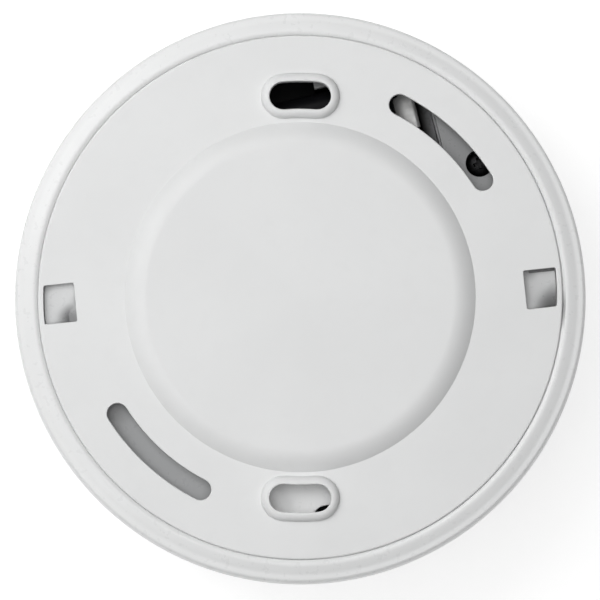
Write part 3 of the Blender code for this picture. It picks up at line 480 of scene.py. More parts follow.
def rounded_corners(outline, corners, radius, steps=4):
    """An outline with some of its corners rounded, by a quadratic curve between two points."""
    rounded = []
    for i, point in enumerate(outline):
        if i not in corners:
            rounded.append(point)
            continue
        at = Vector(point)
        before = Vector(outline[i - 1]) - at
        after = Vector(outline[(i + 1) % len(outline)]) - at
        start = at + before.normalized() * min(radius, before.length * 0.45)
        stop = at + after.normalized() * min(radius, after.length * 0.45)
        for k in range(steps + 1):
            t = k / steps
            rounded.append(tuple(start * (1.0 - t) ** 2 + at * (2.0 * t * (1.0 - t)) + stop * t ** 2))
    return rounded


# ---------------------------------------------------------------- materials

class Look:
    """A procedural material, built round a Principled shader; sizes are in millimetres."""

    def __init__(self, name, colour, roughness, metallic=0.0, **sockets):
        self.material = bpy.data.materials.new(name)
        self.material.use_nodes = True
        self.tree = self.material.node_tree
        self.shader = self.tree.nodes["Principled BSDF"]
        self.shader.inputs["Base Color"].default_value = (*colour, 1.0)
        self.shader.inputs["Roughness"].default_value = roughness
        self.shader.inputs["Metallic"].default_value = metallic
        for socket, value in sockets.items():
            self.shader.inputs[socket.replace("_", " ")].default_value = value
        self.place = self.node("ShaderNodeTexCoord").outputs["Object"]
        self.base = colour
        self.colour = (*colour, 1.0)
        self.normal = None

    def node(self, kind, **settings):
        made = self.tree.nodes.new(kind)
        for setting, value in settings.items():
            setattr(made, setting, value)
        return made

    def feed(self, socket, value):
        if isinstance(value, bpy.types.NodeSocket):
            self.tree.links.new(value, socket)
        else:
            socket.default_value = value

    def mapped(self, scale=(1.0, 1.0, 1.0), turn=0.0):
        """Object coordinates, turned about Z and stretched."""
        made = self.node("ShaderNodeMapping", vector_type="TEXTURE")
        self.feed(made.inputs["Vector"], self.place)
        made.inputs["Rotation"].default_value = (0.0, 0.0, math.radians(turn))
        made.inputs["Scale"].default_value = scale
        return made.outputs["Vector"]

    def axes(self, place=None):
        split = self.node("ShaderNodeSeparateXYZ")
        self.feed(split.inputs[0], self.place if place is None else place)
        return split.outputs

    def noise(self, size, detail=2.0, place=None):
        """Noise whose features are about the given size."""
        made = self.node("ShaderNodeTexNoise")
        self.feed(made.inputs["Vector"], self.place if place is None else place)
        made.inputs["Scale"].default_value = 1.0 / (size * MM)
        made.inputs["Detail"].default_value = detail
        return made.outputs["Fac"]

    def cells(self, size, place=None, **settings):
        """Distance to the middle of the nearest cell, or as the settings say."""
        made = self.node("ShaderNodeTexVoronoi", **settings)
        self.feed(made.inputs["Vector"], self.place if place is None else place)
        made.inputs["Scale"].default_value = 1.0 / (size * MM)
        return made.outputs["Distance"]

    def spread(self, source, low, high, to_low=0.0, to_high=1.0, kind="LINEAR"):
        made = self.node("ShaderNodeMapRange", interpolation_type=kind)
        for socket, value in zip(made.inputs, (source, low, high, to_low, to_high)):
            self.feed(socket, value)
        return made.outputs["Result"]

    def between(self, source, low, high, to_low=0.0, to_high=1.0, kind="LINEAR"):
        """As spread, for a source that is a distance."""
        return self.spread(source, low * MM, high * MM, to_low, to_high, kind)

    def near(self, place, core, reach):
        """One inside a ball of the core radius round a place, falling to nothing at its reach."""
        apart = self.node("ShaderNodeVectorMath", operation="DISTANCE")
        self.feed(apart.inputs[0], self.place)
        apart.inputs[1].default_value = [value * MM for value in place]
        return self.between(apart.outputs["Value"], core, reach, 1.0, 0.0, "SMOOTHSTEP")

    def math(self, operation, first, second=0.0):
        made = self.node("ShaderNodeMath", operation=operation)
        self.feed(made.inputs[0], first)
        self.feed(made.inputs[1], second)
        return made.outputs[0]

    def product(self, first, *others):
        for other in others:
            first = self.math("MULTIPLY", first, other)
        return first

    def tint(self, factor, colour):
        """Lay another colour over the surface, by the factor."""
        made = self.node("ShaderNodeMix", data_type="RGBA")
        self.feed(made.inputs["Factor"], factor)
        self.feed(made.inputs[6], self.colour)
        self.feed(made.inputs[7], (*colour, 1.0))
        self.colour = made.outputs[2]
        self.feed(self.shader.inputs["Base Color"], self.colour)

    def mottle(self, size, detail, low, high, by, amount=1.0):
        """Patches of about the given size in a darker shade of the first colour."""
        self.tint(self.spread(self.noise(size, detail), low, high, 0.0, amount), shade(self.base, by))

    def rough(self, source, low, high, smooth, coarse):
        self.feed(self.shader.inputs["Roughness"], self.spread(source, low, high, smooth, coarse))

    def satin(self, size, smooth, coarse, place=None):
        """Roughness that wanders between two values."""
        self.rough(self.noise(size, 3.0, place), 0.3, 0.7, smooth, coarse)

    def bump(self, height, depth):
        """Relief of the given depth in micrometres, over any relief already there."""
        made = self.node("ShaderNodeBump")
        made.inputs["Distance"].default_value = depth * 1e-6
        made.inputs["Strength"].default_value = 1.0
        self.feed(made.inputs["Height"], height)
        if self.normal is not None:
            self.feed(made.inputs["Normal"], self.normal)
        self.normal = made.outputs["Normal"]
        self.feed(self.shader.inputs["Normal"], self.normal)

    def grain(self, size, depth):
        self.bump(self.noise(size), depth)

    def waviness(self, size, depth):
        self.bump(self.noise(size, 1.0), depth)


def shade(colour, by):
    return tuple(value * by for value in colour)


def moulded_plastic(name, colour, roughness, specks=0.0, grain=3.0):
    """Injection-moulded plastic: fine satin grain, slight flow marks, dust specks, faint scuffs."""
    look = Look(name, colour, roughness, Specular_IOR_Level=0.5)
    look.mottle(22.0, 3.0, 0.35, 0.7, 0.965)
    look.mottle(3.5, 4.0, 0.52, 0.75, 0.96, 0.5)
    if specks:
        near = look.spread(look.cells(7.0), 0.012, 0.018, 1.0, 0.0)
        chosen = look.spread(look.noise(11.0, 1.0), 0.60, 0.62)
        look.tint(look.product(near, chosen, specks), shade(colour, 0.45))
    scuffs = look.spread(look.noise(1.6, 3.0, look.mapped((1.0, 14.0, 1.0), 31.0)), 0.66, 0.74)
    look.rough(look.math("ADD", look.noise(1.1, 3.0), look.product(scuffs, 0.25)),
               0.3, 0.9, roughness - 0.05, roughness + 0.11)
    look.waviness(26.0, 26.0)
    look.grain(0.22, grain)
    return look.material


def housing_plastic(name, colour, roughness):
    """The housing's plastic, bright outside; painted shade of grey on the recessed panel, darker towards +Y,
    painted light in pale spots under the bottom slot, painted shadows by the hooks, and painted shade, near
    black and dull, down in the bay.
    """
    look = Look(name, colour, roughness, Specular_IOR_Level=0.5)
    look.mottle(22.0, 3.0, 0.35, 0.7, 0.975)
    along_x, along_y, height = look.axes()
    radius = look.math("SQRT", look.math("ADD", look.product(along_x, along_x),
                                         look.product(along_y, along_y)))
    inside = look.math("LESS_THAN", radius, (RECESS_RADIUS + EMBED) * MM)
    # Painted shade: the recessed panel turns grey by height, for the shade down in the recess
    recessed = look.product(look.between(height, *PANEL_SHADE_HEIGHTS), inside)
    look.tint(recessed, PANEL_SHADE_GREY)
    # Painted shade: the recessed panel darker still towards +Y
    look.tint(look.product(look.between(along_y, *DEEP_SHADE_Y), recessed), PANEL_DEEP_SHADE)
    # Painted light: pale and white spots on the panel under the bottom slot
    for place, core, reach, tone in PAINTED_LIGHT_SPOTS:
        look.tint(look.product(look.near(place, core, reach), recessed), tone)
    # Painted shadow: dark patches in the hooks' corners and a dark bar in the gap beside the right hook
    for place, core, reach, amount in HOOK_PAINTED_SHADOWS:
        look.tint(look.product(look.near(place, core, reach), amount, inside), HOOK_SHADOW_DARK)
    # Painted shade: below the panel the bay and wells turn near black and lose their reflection
    look.tint(look.product(look.between(height, *BAY_SHADE_HEIGHTS), inside), BAY_SHADE_DARK)
    look.feed(look.shader.inputs["Specular IOR Level"], look.between(height, *BAY_DULL_HEIGHTS, 0.5, 0.03))
    look.rough(look.noise(1.1, 3.0), 0.3, 0.9, roughness - 0.04, roughness + 0.08)
    look.waviness(26.0, 12.0)
    look.grain(0.22, 1.2)
    return look.material


def plated_metal(name, colour, roughness, grain_turn=0.0, tarnish=0.35, metallic=1.0):
    """Plated sheet or turned metal: drawn grain, fine scratches and light tarnish."""
    look = Look(name, colour, roughness, metallic)
    look.mottle(1.7, 4.0, 0.45, 0.75, 0.55, tarnish)
    streaks = look.noise(0.35, 3.0, look.mapped((18.0, 1.0, 1.0), grain_turn))
    look.rough(look.math("ADD", streaks, look.noise(2.5)), 0.7, 1.35, roughness - 0.08, roughness + 0.18)
    look.bump(streaks, 2.5)
    scratches = look.noise(0.9, 2.0, look.mapped((1.0, 26.0, 9.0), grain_turn + 52.0))
    look.bump(look.spread(scratches, 0.68, 0.72), -1.5)
    return look.material


def battery_sleeve(name, colour):
    """Satin black printed steel sleeve, scuffed to grey where it slides in the bay."""
    look = Look(name, colour, 0.42, Specular_IOR_Level=0.08)
    streaks = look.noise(0.5, 4.0, look.mapped((30.0, 1.0, 1.0), BAY_TURN))
    look.tint(look.spread(streaks, 0.62, 0.8, 0.0, 0.5), (0.02, 0.02, 0.022))
    look.tint(look.spread(look.noise(9.0, 5.0), 0.6, 0.85, 0.0, 0.5), (0.012, 0.012, 0.013))
    look.rough(look.noise(2.0, 4.0), 0.3, 0.7, 0.36, 0.54)
    look.bump(streaks, 3.0)
    look.waviness(12.0, 30.0)
    return look.material


def soft_insulation(name, colour):
    """Wire covering: matt, with a faint grain."""
    look = Look(name, colour, 0.48, Specular_IOR_Level=0.4)
    look.mottle(1.2, 3.0, 0.4, 0.75, 0.72)
    look.satin(0.6, 0.38, 0.6)
    look.grain(0.25, 6.0)
    return look.material


def board_laminate(name, colour):
    """Green solder mask with tracks under it and the weave of the glass cloth faintly showing."""
    look = Look(name, colour, 0.32, Coat_Weight=0.3, Coat_Roughness=0.15)
    place = look.mapped((1.0, 1.0, 40.0), BAY_TURN)
    lanes = look.cells(3.1, place, distance="CHEBYCHEV", feature="F2")
    tracks = look.product(look.spread(lanes, 0.50, 0.53), look.spread(lanes, 0.60, 0.63, 1.0, 0.0))
    look.tint(tracks, (0.035, 0.19, 0.075))
    look.mottle(6.0, 3.0, 0.4, 0.8, 0.8, 0.6)
    weave = look.node("ShaderNodeTexWave", wave_type="BANDS", bands_direction="DIAGONAL")
    look.feed(weave.inputs["Vector"], place)
    weave.inputs["Scale"].default_value = 700.0
    look.satin(1.5, 0.24, 0.42)
    look.bump(tracks, 22.0)
    look.bump(weave.outputs["Fac"], 1.5)
    return look.material


def clear_resin(name, colour, roughness, transmission):
    """Tinted or clear resin, a little cloudy."""
    look = Look(name, colour, roughness, Transmission_Weight=transmission, IOR=1.49)
    look.mottle(1.4, 3.0, 0.4, 0.8, 0.85, 0.5)
    look.satin(0.8, roughness - 0.04, roughness + 0.1)
    look.grain(0.9, 4.0)
    return look.material


def fired_ceramic(name, colour, roughness):
    """Fired or lacquered ceramic with fine pits."""
    look = Look(name, colour, roughness)
    look.mottle(0.8, 4.0, 0.4, 0.7, 0.8, 0.7)
    look.tint(look.spread(look.cells(0.7), 0.05, 0.16, 0.6, 0.0), shade(colour, 0.62))
    look.satin(0.5, roughness - 0.1, roughness + 0.12)
    look.bump(look.noise(0.3, 3.0), 9.0)
    return look.material


def shrunk_sleeve(name, colour):
    """Glossy heat-shrunk sleeve, drawn tight over a can and its groove."""
    look = Look(name, colour, 0.25, Coat_Weight=0.4, Coat_Roughness=0.12)
    look.mottle(2.2, 3.0, 0.4, 0.75, 0.7)
    look.satin(0.9, 0.18, 0.36, look.mapped((1.0, 1.0, 6.0)))
    look.bump(look.noise(1.3, 2.0, look.mapped((1.0, 1.0, 5.0))), 10.0)
    return look.material


def carrier_plastic(name, colour, painted_light_grey):
    """Black glass-filled plastic with painted light: it turns grey towards the pocket's end."""
    look = Look(name, colour, 0.6, Specular_IOR_Level=0.25)
    along = look.axes(look.mapped(turn=BAY_TURN))["X"]
    # Painted light: grey towards the pocket's end
    look.tint(look.between(along, *CONTACT_BLOCK_U, kind="SMOOTHSTEP"), painted_light_grey)
    look.mottle(0.8, 3.0, 0.5, 0.8, 0.6, 0.5)
    look.satin(0.6, 0.5, 0.7)
    look.grain(0.3, 6.0)
    return look.material


def banded_resistor(name, colour):
    """Lacquered resistor body with plain code bands round it."""
    look = Look(name, colour, 0.35, Coat_Weight=0.3, Coat_Roughness=0.2)
    along = look.axes(look.mapped(turn=BAY_TURN))["X"]
    for middle in RESISTOR_BAND_MIDDLES:
        for i, band in enumerate(RESISTOR_BANDS):
            apart = look.math("ABSOLUTE", look.math("SUBTRACT", along, (middle + i) * MM))
            look.tint(look.between(apart, 0.22, 0.26, 1.0, 0.0), band)
    look.satin(0.6, 0.28, 0.48)
    look.grain(0.4, 7.0)
    return look.material


WHITE = (0.70, 0.705, 0.705)
BLACK = (0.022, 0.022, 0.023)
# Colours of the painted shade and painted light on the housing's recess, hooks and bay
PANEL_SHADE_GREY = (0.31, 0.315, 0.32)
PANEL_DEEP_SHADE = (0.20, 0.203, 0.206)
PANEL_PAINTED_LIGHT = (0.82, 0.825, 0.825)
PANEL_PAINTED_BRIGHT = (0.96, 0.965, 0.965)
HOOK_SHADOW_DARK = (0.12, 0.12, 0.122)
BAY_SHADE_DARK = (0.005, 0.005, 0.0055)
# Each pair runs from where a painted shade begins to where it is full
PANEL_SHADE_HEIGHTS = (-2.2, -4.6)
BAY_SHADE_HEIGHTS = (-6.3, -8.2)
BAY_DULL_HEIGHTS = (-5.9, -7.5)
DEEP_SHADE_Y = (8.0, 24.0)
# Each spot of painted light or painted shadow has its place, core radius, reach, and its colour or amount
PAINTED_LIGHT_SPOTS = (((0.0, -SCREW_SLOT_RADIUS, PANEL_TOP), 8.5, 10.5, PANEL_PAINTED_LIGHT),
              ((-6.2, -SCREW_SLOT_RADIUS, PANEL_TOP), 1.6, 4.2, PANEL_PAINTED_BRIGHT))
HOOK_PAINTED_SHADOWS = (((-39.9, -3.6, -3.6), 0.2, 3.0, 0.9), ((-44.6, 2.2, -3.1), 0.2, 2.2, 0.55),
               ((44.6, -2.0, -3.6), 0.8, 5.0, 1.0), ((39.6, 4.6, -3.1), 0.2, 2.4, 0.6),
               ((42.0, 2.5, -3.6), 3.0, 6.0, 0.25), ((39.6, 4.4, -5.0), 1.6, 1.85, 1.0),
               ((41.5, 4.6, -5.0), 1.6, 1.85, 1.0), ((43.5, 4.8, -5.0), 1.6, 1.85, 1.0))
RESISTOR_BANDS = ((0.25, 0.05, 0.02), (0.02, 0.02, 0.02), (0.5, 0.12, 0.02))
RESISTOR_BAND_MIDDLES = (-7.6, 6.4)
PLATE_WHITE = moulded_plastic("plate_white", WHITE, 0.47, specks=0.8)
HOUSING_WHITE = housing_plastic("housing_white", WHITE, 0.30)
COVER_WHITE = moulded_plastic("cover_white", WHITE, 0.36, specks=0.5, grain=2.5)
BUTTON_WHITE = moulded_plastic("button_white", shade(WHITE, 0.985), 0.36, specks=0.3, grain=1.5)
SATIN_BLACK = moulded_plastic("satin_black", BLACK, 0.42, grain=5.0)
IVORY = moulded_plastic("ivory_plastic_satin", (0.62, 0.57, 0.45), 0.42)
SLEEVE = battery_sleeve("battery_sleeve_black", (0.005, 0.005, 0.006))
# The third colour is the painted light on the carrier's top
CARRIER_BLACK = carrier_plastic("carrier_black", (0.02, 0.02, 0.02), (0.22, 0.22, 0.225))
NICKEL = plated_metal("nickel_drawn", (0.40, 0.395, 0.385), 0.42, BAY_TURN)
SNAP_NICKEL = plated_metal("nickel_satin", (0.66, 0.655, 0.64), 0.6, BAY_TURN, metallic=0.35)
# Painted light: a lighter, less metallic copy of the strip nickel, for the positive strip
LIT_TAB_NICKEL = plated_metal("nickel_tab_lit", (0.50, 0.50, 0.495), 0.45, BAY_TURN, metallic=0.45)
ZINC = plated_metal("zinc_bright", (0.58, 0.59, 0.60), 0.30)
SPRING_STEEL = plated_metal("steel_spring_wire", (0.50, 0.50, 0.51), 0.28, 12.0, 0.2)
OXIDE = plated_metal("steel_oxide", (0.022, 0.022, 0.023), 0.45, 20.0, 0.6)
BRASS = plated_metal("brass_rolled", (0.72, 0.50, 0.20), 0.27, 63.0, 0.5)
RED_PVC = soft_insulation("red_pvc", (0.45, 0.018, 0.012))
BLACK_PVC = soft_insulation("black_pvc", (0.014, 0.014, 0.015))
LAMINATE = board_laminate("green_laminate", (0.016, 0.085, 0.034))
EMITTER_RESIN = clear_resin("emitter_resin", (0.12, 0.13, 0.42), 0.1, 0.7)
LED_RESIN = clear_resin("led_resin", (0.62, 0.03, 0.02), 0.2, 0.55)
ACRYLIC = clear_resin("light_guide_acrylic", (0.88, 0.89, 0.89), 0.08, 0.85)
CERAMIC = fired_ceramic("piezo_silvered", (0.60, 0.60, 0.57), 0.38)
FERRITE = fired_ceramic("ferrite_lacquer", (0.07, 0.045, 0.035), 0.5)
CAN_SLEEVE = shrunk_sleeve("can_sleeve", (0.02, 0.032, 0.11))
RESISTOR = banded_resistor("resistor_lacquer", (0.55, 0.40, 0.24))


# ---------------------------------------------------------------- mounting plate

def screw_boss(angle):
    """The rounded collar round a screw slot, rolling down to the plate's face."""
    height = BOSS_TOP - PLATE_FACE
    sections = [(arc_slot(SCREW_SLOT_RADIUS, BOSS_WIDTH, angle, SCREW_SLOT_SPAN), PLATE_FACE - EMBED)]
    for inset, rise in oval_arc((BOSS_ROUND, 0.0), BOSS_ROUND, height, 180.0, 90.0, 10):
        sections.append((arc_slot(SCREW_SLOT_RADIUS, BOSS_WIDTH - 2.0 * inset, angle, SCREW_SLOT_SPAN),
                         PLATE_FACE + rise))
    return lofted("screw_boss", sections)


def make_mounting_plate():
    """The ceiling plate with its pillowed disc, bosses, slots, windows, ledges and stops."""
    profile = [(0.0, 0.0)]
    for i in range(DISC_STEPS + 1):
        along = i / DISC_STEPS
        profile.append((DISC_RADIUS - DISC_SPREAD * (1.0 - along), PLATE_FACE * along * along))
    profile.append((profile[-1][0] + FACE_MARGIN, PLATE_FACE))
    corner = (PLATE_RADIUS - PLATE_EDGE_ROUND, PLATE_FACE - PLATE_EDGE_ROUND)
    profile.append((corner[0] - FACE_MARGIN, PLATE_FACE))
    profile += arc(corner, PLATE_EDGE_ROUND, 90.0, 0.0, 7)
    profile += [(PLATE_RADIUS, SKIRT_BOTTOM + SKIRT_CHAMFER), (PLATE_RADIUS - SKIRT_CHAMFER, SKIRT_BOTTOM),
                (SKIRT_INNER, SKIRT_BOTTOM), (SKIRT_INNER, PLATE_UNDERSIDE), (DISC_HOLLOW, PLATE_UNDERSIDE),
                (DISC_RADIUS - DISC_SPREAD, PLATE_UNDERSIDE - PLATE_FACE),
                (0.0, PLATE_UNDERSIDE - PLATE_FACE)]
    plate = turned("ceiling_plate", profile)
    for angle in SCREW_SLOT_ANGLES:
        add(plate, screw_boss(angle))
    for angle in WINDOW_ANGLES:
        shift = (LEDGE_SPAN - HOOK_SPAN - 1.0) / 2.0
        ledge = slab("bayonet_ledge",
                     lambda grow: ring_sector(LEDGE_INNER, SKIRT_INNER + EMBED, angle + shift,
                                              LEDGE_SPAN, grow),
                     SKIRT_BOTTOM + 0.05, LEDGE_TOP, LEDGE_EDGE)
        stop = slab("bayonet_stop",
                    lambda grow: ring_sector(LEDGE_INNER + STOP_INSET, SKIRT_INNER + STOP_INSET,
                                             angle + STOP_OFFSET, STOP_SPAN, grow),
                    LEDGE_TOP - 0.3, PLATE_UNDERSIDE + 0.3)
        add(plate, ledge, stop)
    below = PLATE_UNDERSIDE - CLEAR
    for angle in SCREW_SLOT_ANGLES:
        cut(plate, mouth_cutter("screw_slot",
                                lambda grow: arc_slot(SCREW_SLOT_RADIUS, SCREW_SLOT_WIDTH + 2.0 * grow,
                                                      angle, SCREW_SLOT_SPAN),
                                BOSS_TOP, below, BOSS_MOUTH_ROUND))
    for angle in ARC_SLOT_ANGLES:
        cut(plate, mouth_cutter("arc_slot",
                                lambda grow: arc_slot(ARC_SLOT_RADIUS, ARC_SLOT_WIDTH + 2.0 * grow,
                                                      angle, ARC_SLOT_SPAN, 14),
                                PLATE_FACE, below, MOUTH_ROUND))
    for angle in WINDOW_ANGLES:
        cut(plate, mouth_cutter("window", lambda grow: window_outline(angle, grow),
                                PLATE_FACE, below, WINDOW_MOUTH_ROUND))
    piece(plate, PLATE_WHITE, "plate", "white_plastic", "mounting_plate")


# ---------------------------------------------------------------- rear housing

def ring_profile():
    """The housing's recess wall, its soft rim, the sloping band and the flatter lip outside it."""
    crest = RECESS_RADIUS + RIM_ROUND[0]
    points = [(RECESS_RADIUS, PANEL_TOP)]
    points += oval_arc((crest, RIM_TOP - RIM_ROUND[1]), *RIM_ROUND, 180.0, 104.0, 10)
    band_start = (crest + RIM_FLAT[0], RIM_TOP - RIM_FLAT[1])
    slope = (LIP_TOP - band_start[1]) / (BAND_OUTER - band_start[0])
    points += [band_start, (BAND_OUTER - BAND_BLEND, LIP_TOP - slope * BAND_BLEND)]
    for i in range(1, 6):
        along = i / 6.0
        points.append((BAND_OUTER + BAND_BLEND * (2.0 * along - 1.0),
                       LIP_TOP - slope * BAND_BLEND * (1.0 - along) ** 2 - LIP_FALL * 0.5 * along ** 2))
    points += arc((LIP_RADIUS - LIP_ROUND, LIP_TOP - LIP_FALL - LIP_ROUND), LIP_ROUND, 84.0, 0.0, 9)
    points += arc((LIP_RADIUS - LIP_FOOT_ROUND, LIP_BOTTOM + LIP_FOOT_ROUND), LIP_FOOT_ROUND, 0.0, -90.0, 3)
    return points


def hook_tip(angle, rows=10, columns=18):
    """A bayonet hook's tip; its upper face rounds away towards one corner, where it was sprung out."""
    shape = bmesh.new()
    middle = Vector(polar((WINDOW_INNER + SKIRT_INNER) / 2.0, angle))
    falling = Vector(polar(1.0, HOOK_FALL_ANGLE))
    inner = HOOK_POST_INNER + HOOK_INSET
    start, stop = HOOK_FALL_SPAN
    upper, lower = [], []
    for row in range(rows + 1):
        radius = inner + (HOOK_TIP - inner) * row / rows
        upper.append([])
        lower.append([])
        for column in range(columns + 1):
            turn = angle + (HOOK_SPAN - 0.1) * (column / columns - 0.5)
            x, y = polar(radius, turn)
            along = min(max(((Vector((x, y)) - middle) @ falling - start) / (stop - start), 0.0), 1.0)
            height = HOOK_TOP - HOOK_FALL * along * along * (1.5 - 0.5 * along)
            upper[-1].append(shape.verts.new((x * MM, y * MM, height * MM)))
            lower[-1].append(shape.verts.new((x * MM, y * MM, HOOK_BOTTOM * MM)))
    for row in range(rows):
        for column in range(columns):
            for layer, order in ((upper, 1), (lower, -1)):
                corners = [layer[row][column], layer[row + 1][column], layer[row + 1][column + 1],
                           layer[row][column + 1]]
                shape.faces.new(corners[::order])
    rim = ([(0, c) for c in range(columns)] + [(r, columns) for r in range(rows)]
           + [(rows, c) for c in range(columns, 0, -1)] + [(r, 0) for r in range(rows, 0, -1)])
    for (r0, c0), (r1, c1) in zip(rim, rim[1:] + rim[:1]):
        shape.faces.new((upper[r0][c0], upper[r1][c1], lower[r1][c1], lower[r0][c0]))
    return mesh_object("hook_tip", shape)


def stop_rebate(angle):
    """A cutter for the step along a hook's leading side, where it meets the plate's stop."""
    middle = polar((WINDOW_INNER + SKIRT_INNER) / 2.0, angle)
    place = (Matrix.Translation((middle[0] * MM, middle[1] * MM, 0.0))
             @ Matrix.Rotation(math.radians(angle + WINDOW_LEAN), 4, "Z"))
    reach = (SKIRT_INNER - WINDOW_INNER) / 2.0
    side = WINDOW_WIDTH / 2.0
    return slab("stop_rebate",
                lambda grow: rounded_rectangle((CLEAR - reach, reach + CLEAR),
                                               (side - REBATE_WIDTH, side + 2.0 * CLEAR), 0.2, grow),
                HOOK_TOP - REBATE_DEPTH, HOOK_TOP + CLEAR, place=place)


def make_rear_housing():
    """The housing's panel and ring, with its hooks, battery bay, pocket, notch, wells and posts."""
    profile = [(0.0, PANEL_TOP), *ring_profile(), (WALL_OUTER, LIP_BOTTOM), (WALL_OUTER, PANEL_BOTTOM),
               (0.0, PANEL_BOTTOM)]
    housing = turned("housing_moulding", profile)
    wells = [polar(WELL_CENTRES, angle) for angle in WELL_ANGLES]
    posts = [bay_point(*place) for place in BOARD_POSTS]
    root = PANEL_BOTTOM + EMBED
    for angle in WINDOW_ANGLES:
        add(housing,
            slab("hook_post",
                 lambda grow: ring_sector(HOOK_POST_INNER, HOOK_POST_OUTER, angle, HOOK_SPAN, grow),
                 PANEL_TOP - EMBED, HOOK_TOP - 0.4),
            hook_tip(angle))
    for centre in wells:
        add(housing, rod("well_wall", WELL_OUTER, WELL_BOTTOM, root, centre))

    floor = BATTERY_BOTTOM - GAP
    inner_u = widen(BATTERY_U, BAY_CLEARANCE)
    inner_v = widen(BATTERY_V, BAY_CLEARANCE)
    outer_u = widen(inner_u, BAY_WALL)
    pocket_v = widen(POCKET_V, BAY_WALL)
    add(housing,
        bay_block("bay_wall", outer_u, widen(inner_v, BAY_WALL), 3.0, floor - BAY_WALL, root, 0.6),
        bay_block("pocket_wall", (outer_u[1] - 6.0, POCKET_U + BAY_WALL), pocket_v, 1.5,
                  floor - BAY_WALL + 0.1, root - 0.1, 0.5),
        bay_block("notch_wall", widen(NOTCH_U, BAY_WALL), (NOTCH_V[0] + 2.0, NOTCH_V[1] + BAY_WALL), 1.0,
                  NOTCH_FLOOR - BAY_WALL, root - 0.2, 0.4))
    for centre in posts:
        add(housing, rod("board_post", BOARD_POST_RADIUS, BOARD_REAR + GAP, root, centre))
    cut(housing,
        bay_opening("bay_space", inner_u, inner_v, 1.2, PANEL_TOP, floor, 0.3),
        bay_opening("pocket_space", (inner_u[1] - 4.0, POCKET_U), POCKET_V, 0.6,
                    PANEL_TOP, floor + 0.1, 0.08),
        bay_block("finger_notch", NOTCH_U, NOTCH_V, 0.8, NOTCH_FLOOR, PANEL_TOP + CLEAR),
        bay_block("lead_hole", LEAD_HOLE_U, (pocket_v[0] - CLEAR, POCKET_V[0] + CLEAR), 0.2, *LEAD_HOLE_Z))
    for centre, inner, mouth in zip(wells, WELL_INNER, WELL_MOUTH):
        cut(housing,
            mouth_cutter("well_space", round_hole(centre, inner), PANEL_TOP, WELL_FLOOR, mouth),
            rod("well_hole", SCREW_HOLE, WELL_BOTTOM - CLEAR, WELL_FLOOR + CLEAR, centre))
    for centre in posts:
        cut(housing, rod("board_post_hole", BOARD_POST_HOLE, BOARD_REAR - CLEAR,
                         BOARD_REAR + BOARD_POST_HOLE_DEPTH, centre, 24))
    cut(housing, stop_rebate(WINDOW_ANGLES[0]))
    piece(housing, HOUSING_WHITE, "alarm", "white_plastic", "rear_housing")


# ---------------------------------------------------------------- front cover

def shoulder(inset, steps):
    """The cover's round shoulder from its side down to its front, moved inwards by inset."""
    reach = SHOULDER_RADIUS - FRONT_FLAT - inset
    drop = SHOULDER_TOP - FRONT_FACE - inset
    return oval_arc((FRONT_FLAT, SHOULDER_TOP), reach, -drop, 0.0, 90.0, steps)


def side_curve(inset, steps=10):
    """The cover's side, bulging gently from its top edge down to the shoulder."""
    points = []
    for i in range(steps + 1):
        along = i / steps
        above = along < BULGE_PLACE
        height = COVER_TOP - COVER_EDGE + (SHOULDER_TOP - COVER_TOP + COVER_EDGE) * along
        bulge = 1.0 - ((along - BULGE_PLACE) / (BULGE_PLACE if above else 1.0 - BULGE_PLACE)) ** 2
        edge = LIP_RADIUS + 0.1 if above else SHOULDER_RADIUS
        points.append((edge + (COVER_RADIUS - edge) * bulge - inset, height))
    return points


def make_front_cover():
    """The dome with its dish round the button, screw posts, vents, sounder slots and light hole."""
    inner_face = FRONT_FACE + COVER_WALL
    beyond = inner_face + CLEAR
    profile = [(COVER_INNER_TOP, COVER_TOP)]
    profile += arc((LIP_RADIUS - 0.3, COVER_TOP - COVER_EDGE), COVER_EDGE, 90.0, 20.0, 5)
    profile += side_curve(0.0)
    profile += shoulder(0.0, 20)[1:]
    profile += arc((DISH_RADIUS + DISH_EDGE, FRONT_FACE + DISH_EDGE), DISH_EDGE, 270.0, 180.0, 4)
    profile += [(DISH_RADIUS, DISH_FACE)]
    profile += arc((BUTTON_HOLE + HOLE_EDGE, DISH_FACE + HOLE_EDGE), HOLE_EDGE, 270.0, 180.0, 4)
    profile += [(BUTTON_HOLE, inner_face)]
    profile += shoulder(COVER_WALL, 12)[::-1]
    profile += [(COVER_RADIUS - COVER_WALL - 0.2, MID_HEIGHT)]
    cover = turned("dome_moulding", profile)
    wells = [polar(WELL_CENTRES, angle) for angle in WELL_ANGLES]
    for centre in wells:
        add(cover, rod("cover_post", POST_RADIUS, inner_face - EMBED, POST_TOP, centre))
    for centre in wells:
        cut(cover, rod("cover_post_hole", SCREW_HOLE, POST_TOP - 11.0, POST_TOP + CLEAR, centre, 24))
    half = VENT_WIDTH / 2.0
    for i in range(VENT_COUNT):
        radial = Matrix.Rotation(math.radians(360.0 * (i + 0.5) / VENT_COUNT), 4, "Z") @ ALONG_Z
        sections = [(rounded_rectangle((-half, half), (VENT_BOTTOM, VENT_TOP), half - 0.05, grow, 6), height)
                    for grow, height in VENT_SECTIONS]
        cut(cover, lofted("vent", sections, radial))
    for i in range(GRILLE_COUNT):
        offset = (i - (GRILLE_COUNT - 1) / 2.0) * GRILLE_PITCH
        half = math.sqrt(GRILLE_REACH ** 2 - offset ** 2)
        u, v = SOUNDER_CENTRE[0], SOUNDER_CENTRE[1] + offset
        slot = mouth_cutter("sounder_slot",
                            lambda grow: rounded_rectangle(widen((u, u), half),
                                                           widen((v, v), GRILLE_WIDTH / 2.0),
                                                           GRILLE_WIDTH / 2.0 - 0.02, grow, 7),
                            FRONT_FACE, beyond, HOLE_EDGE, in_bay())
        cut(cover, slot)
    cut(cover, mouth_cutter("light_hole", round_hole(bay_point(*LED_CENTRE), LED_HOLE),
                            FRONT_FACE, beyond, HOLE_EDGE))
    piece(cover, COVER_WHITE, "alarm", "white_plastic", "front_cover")


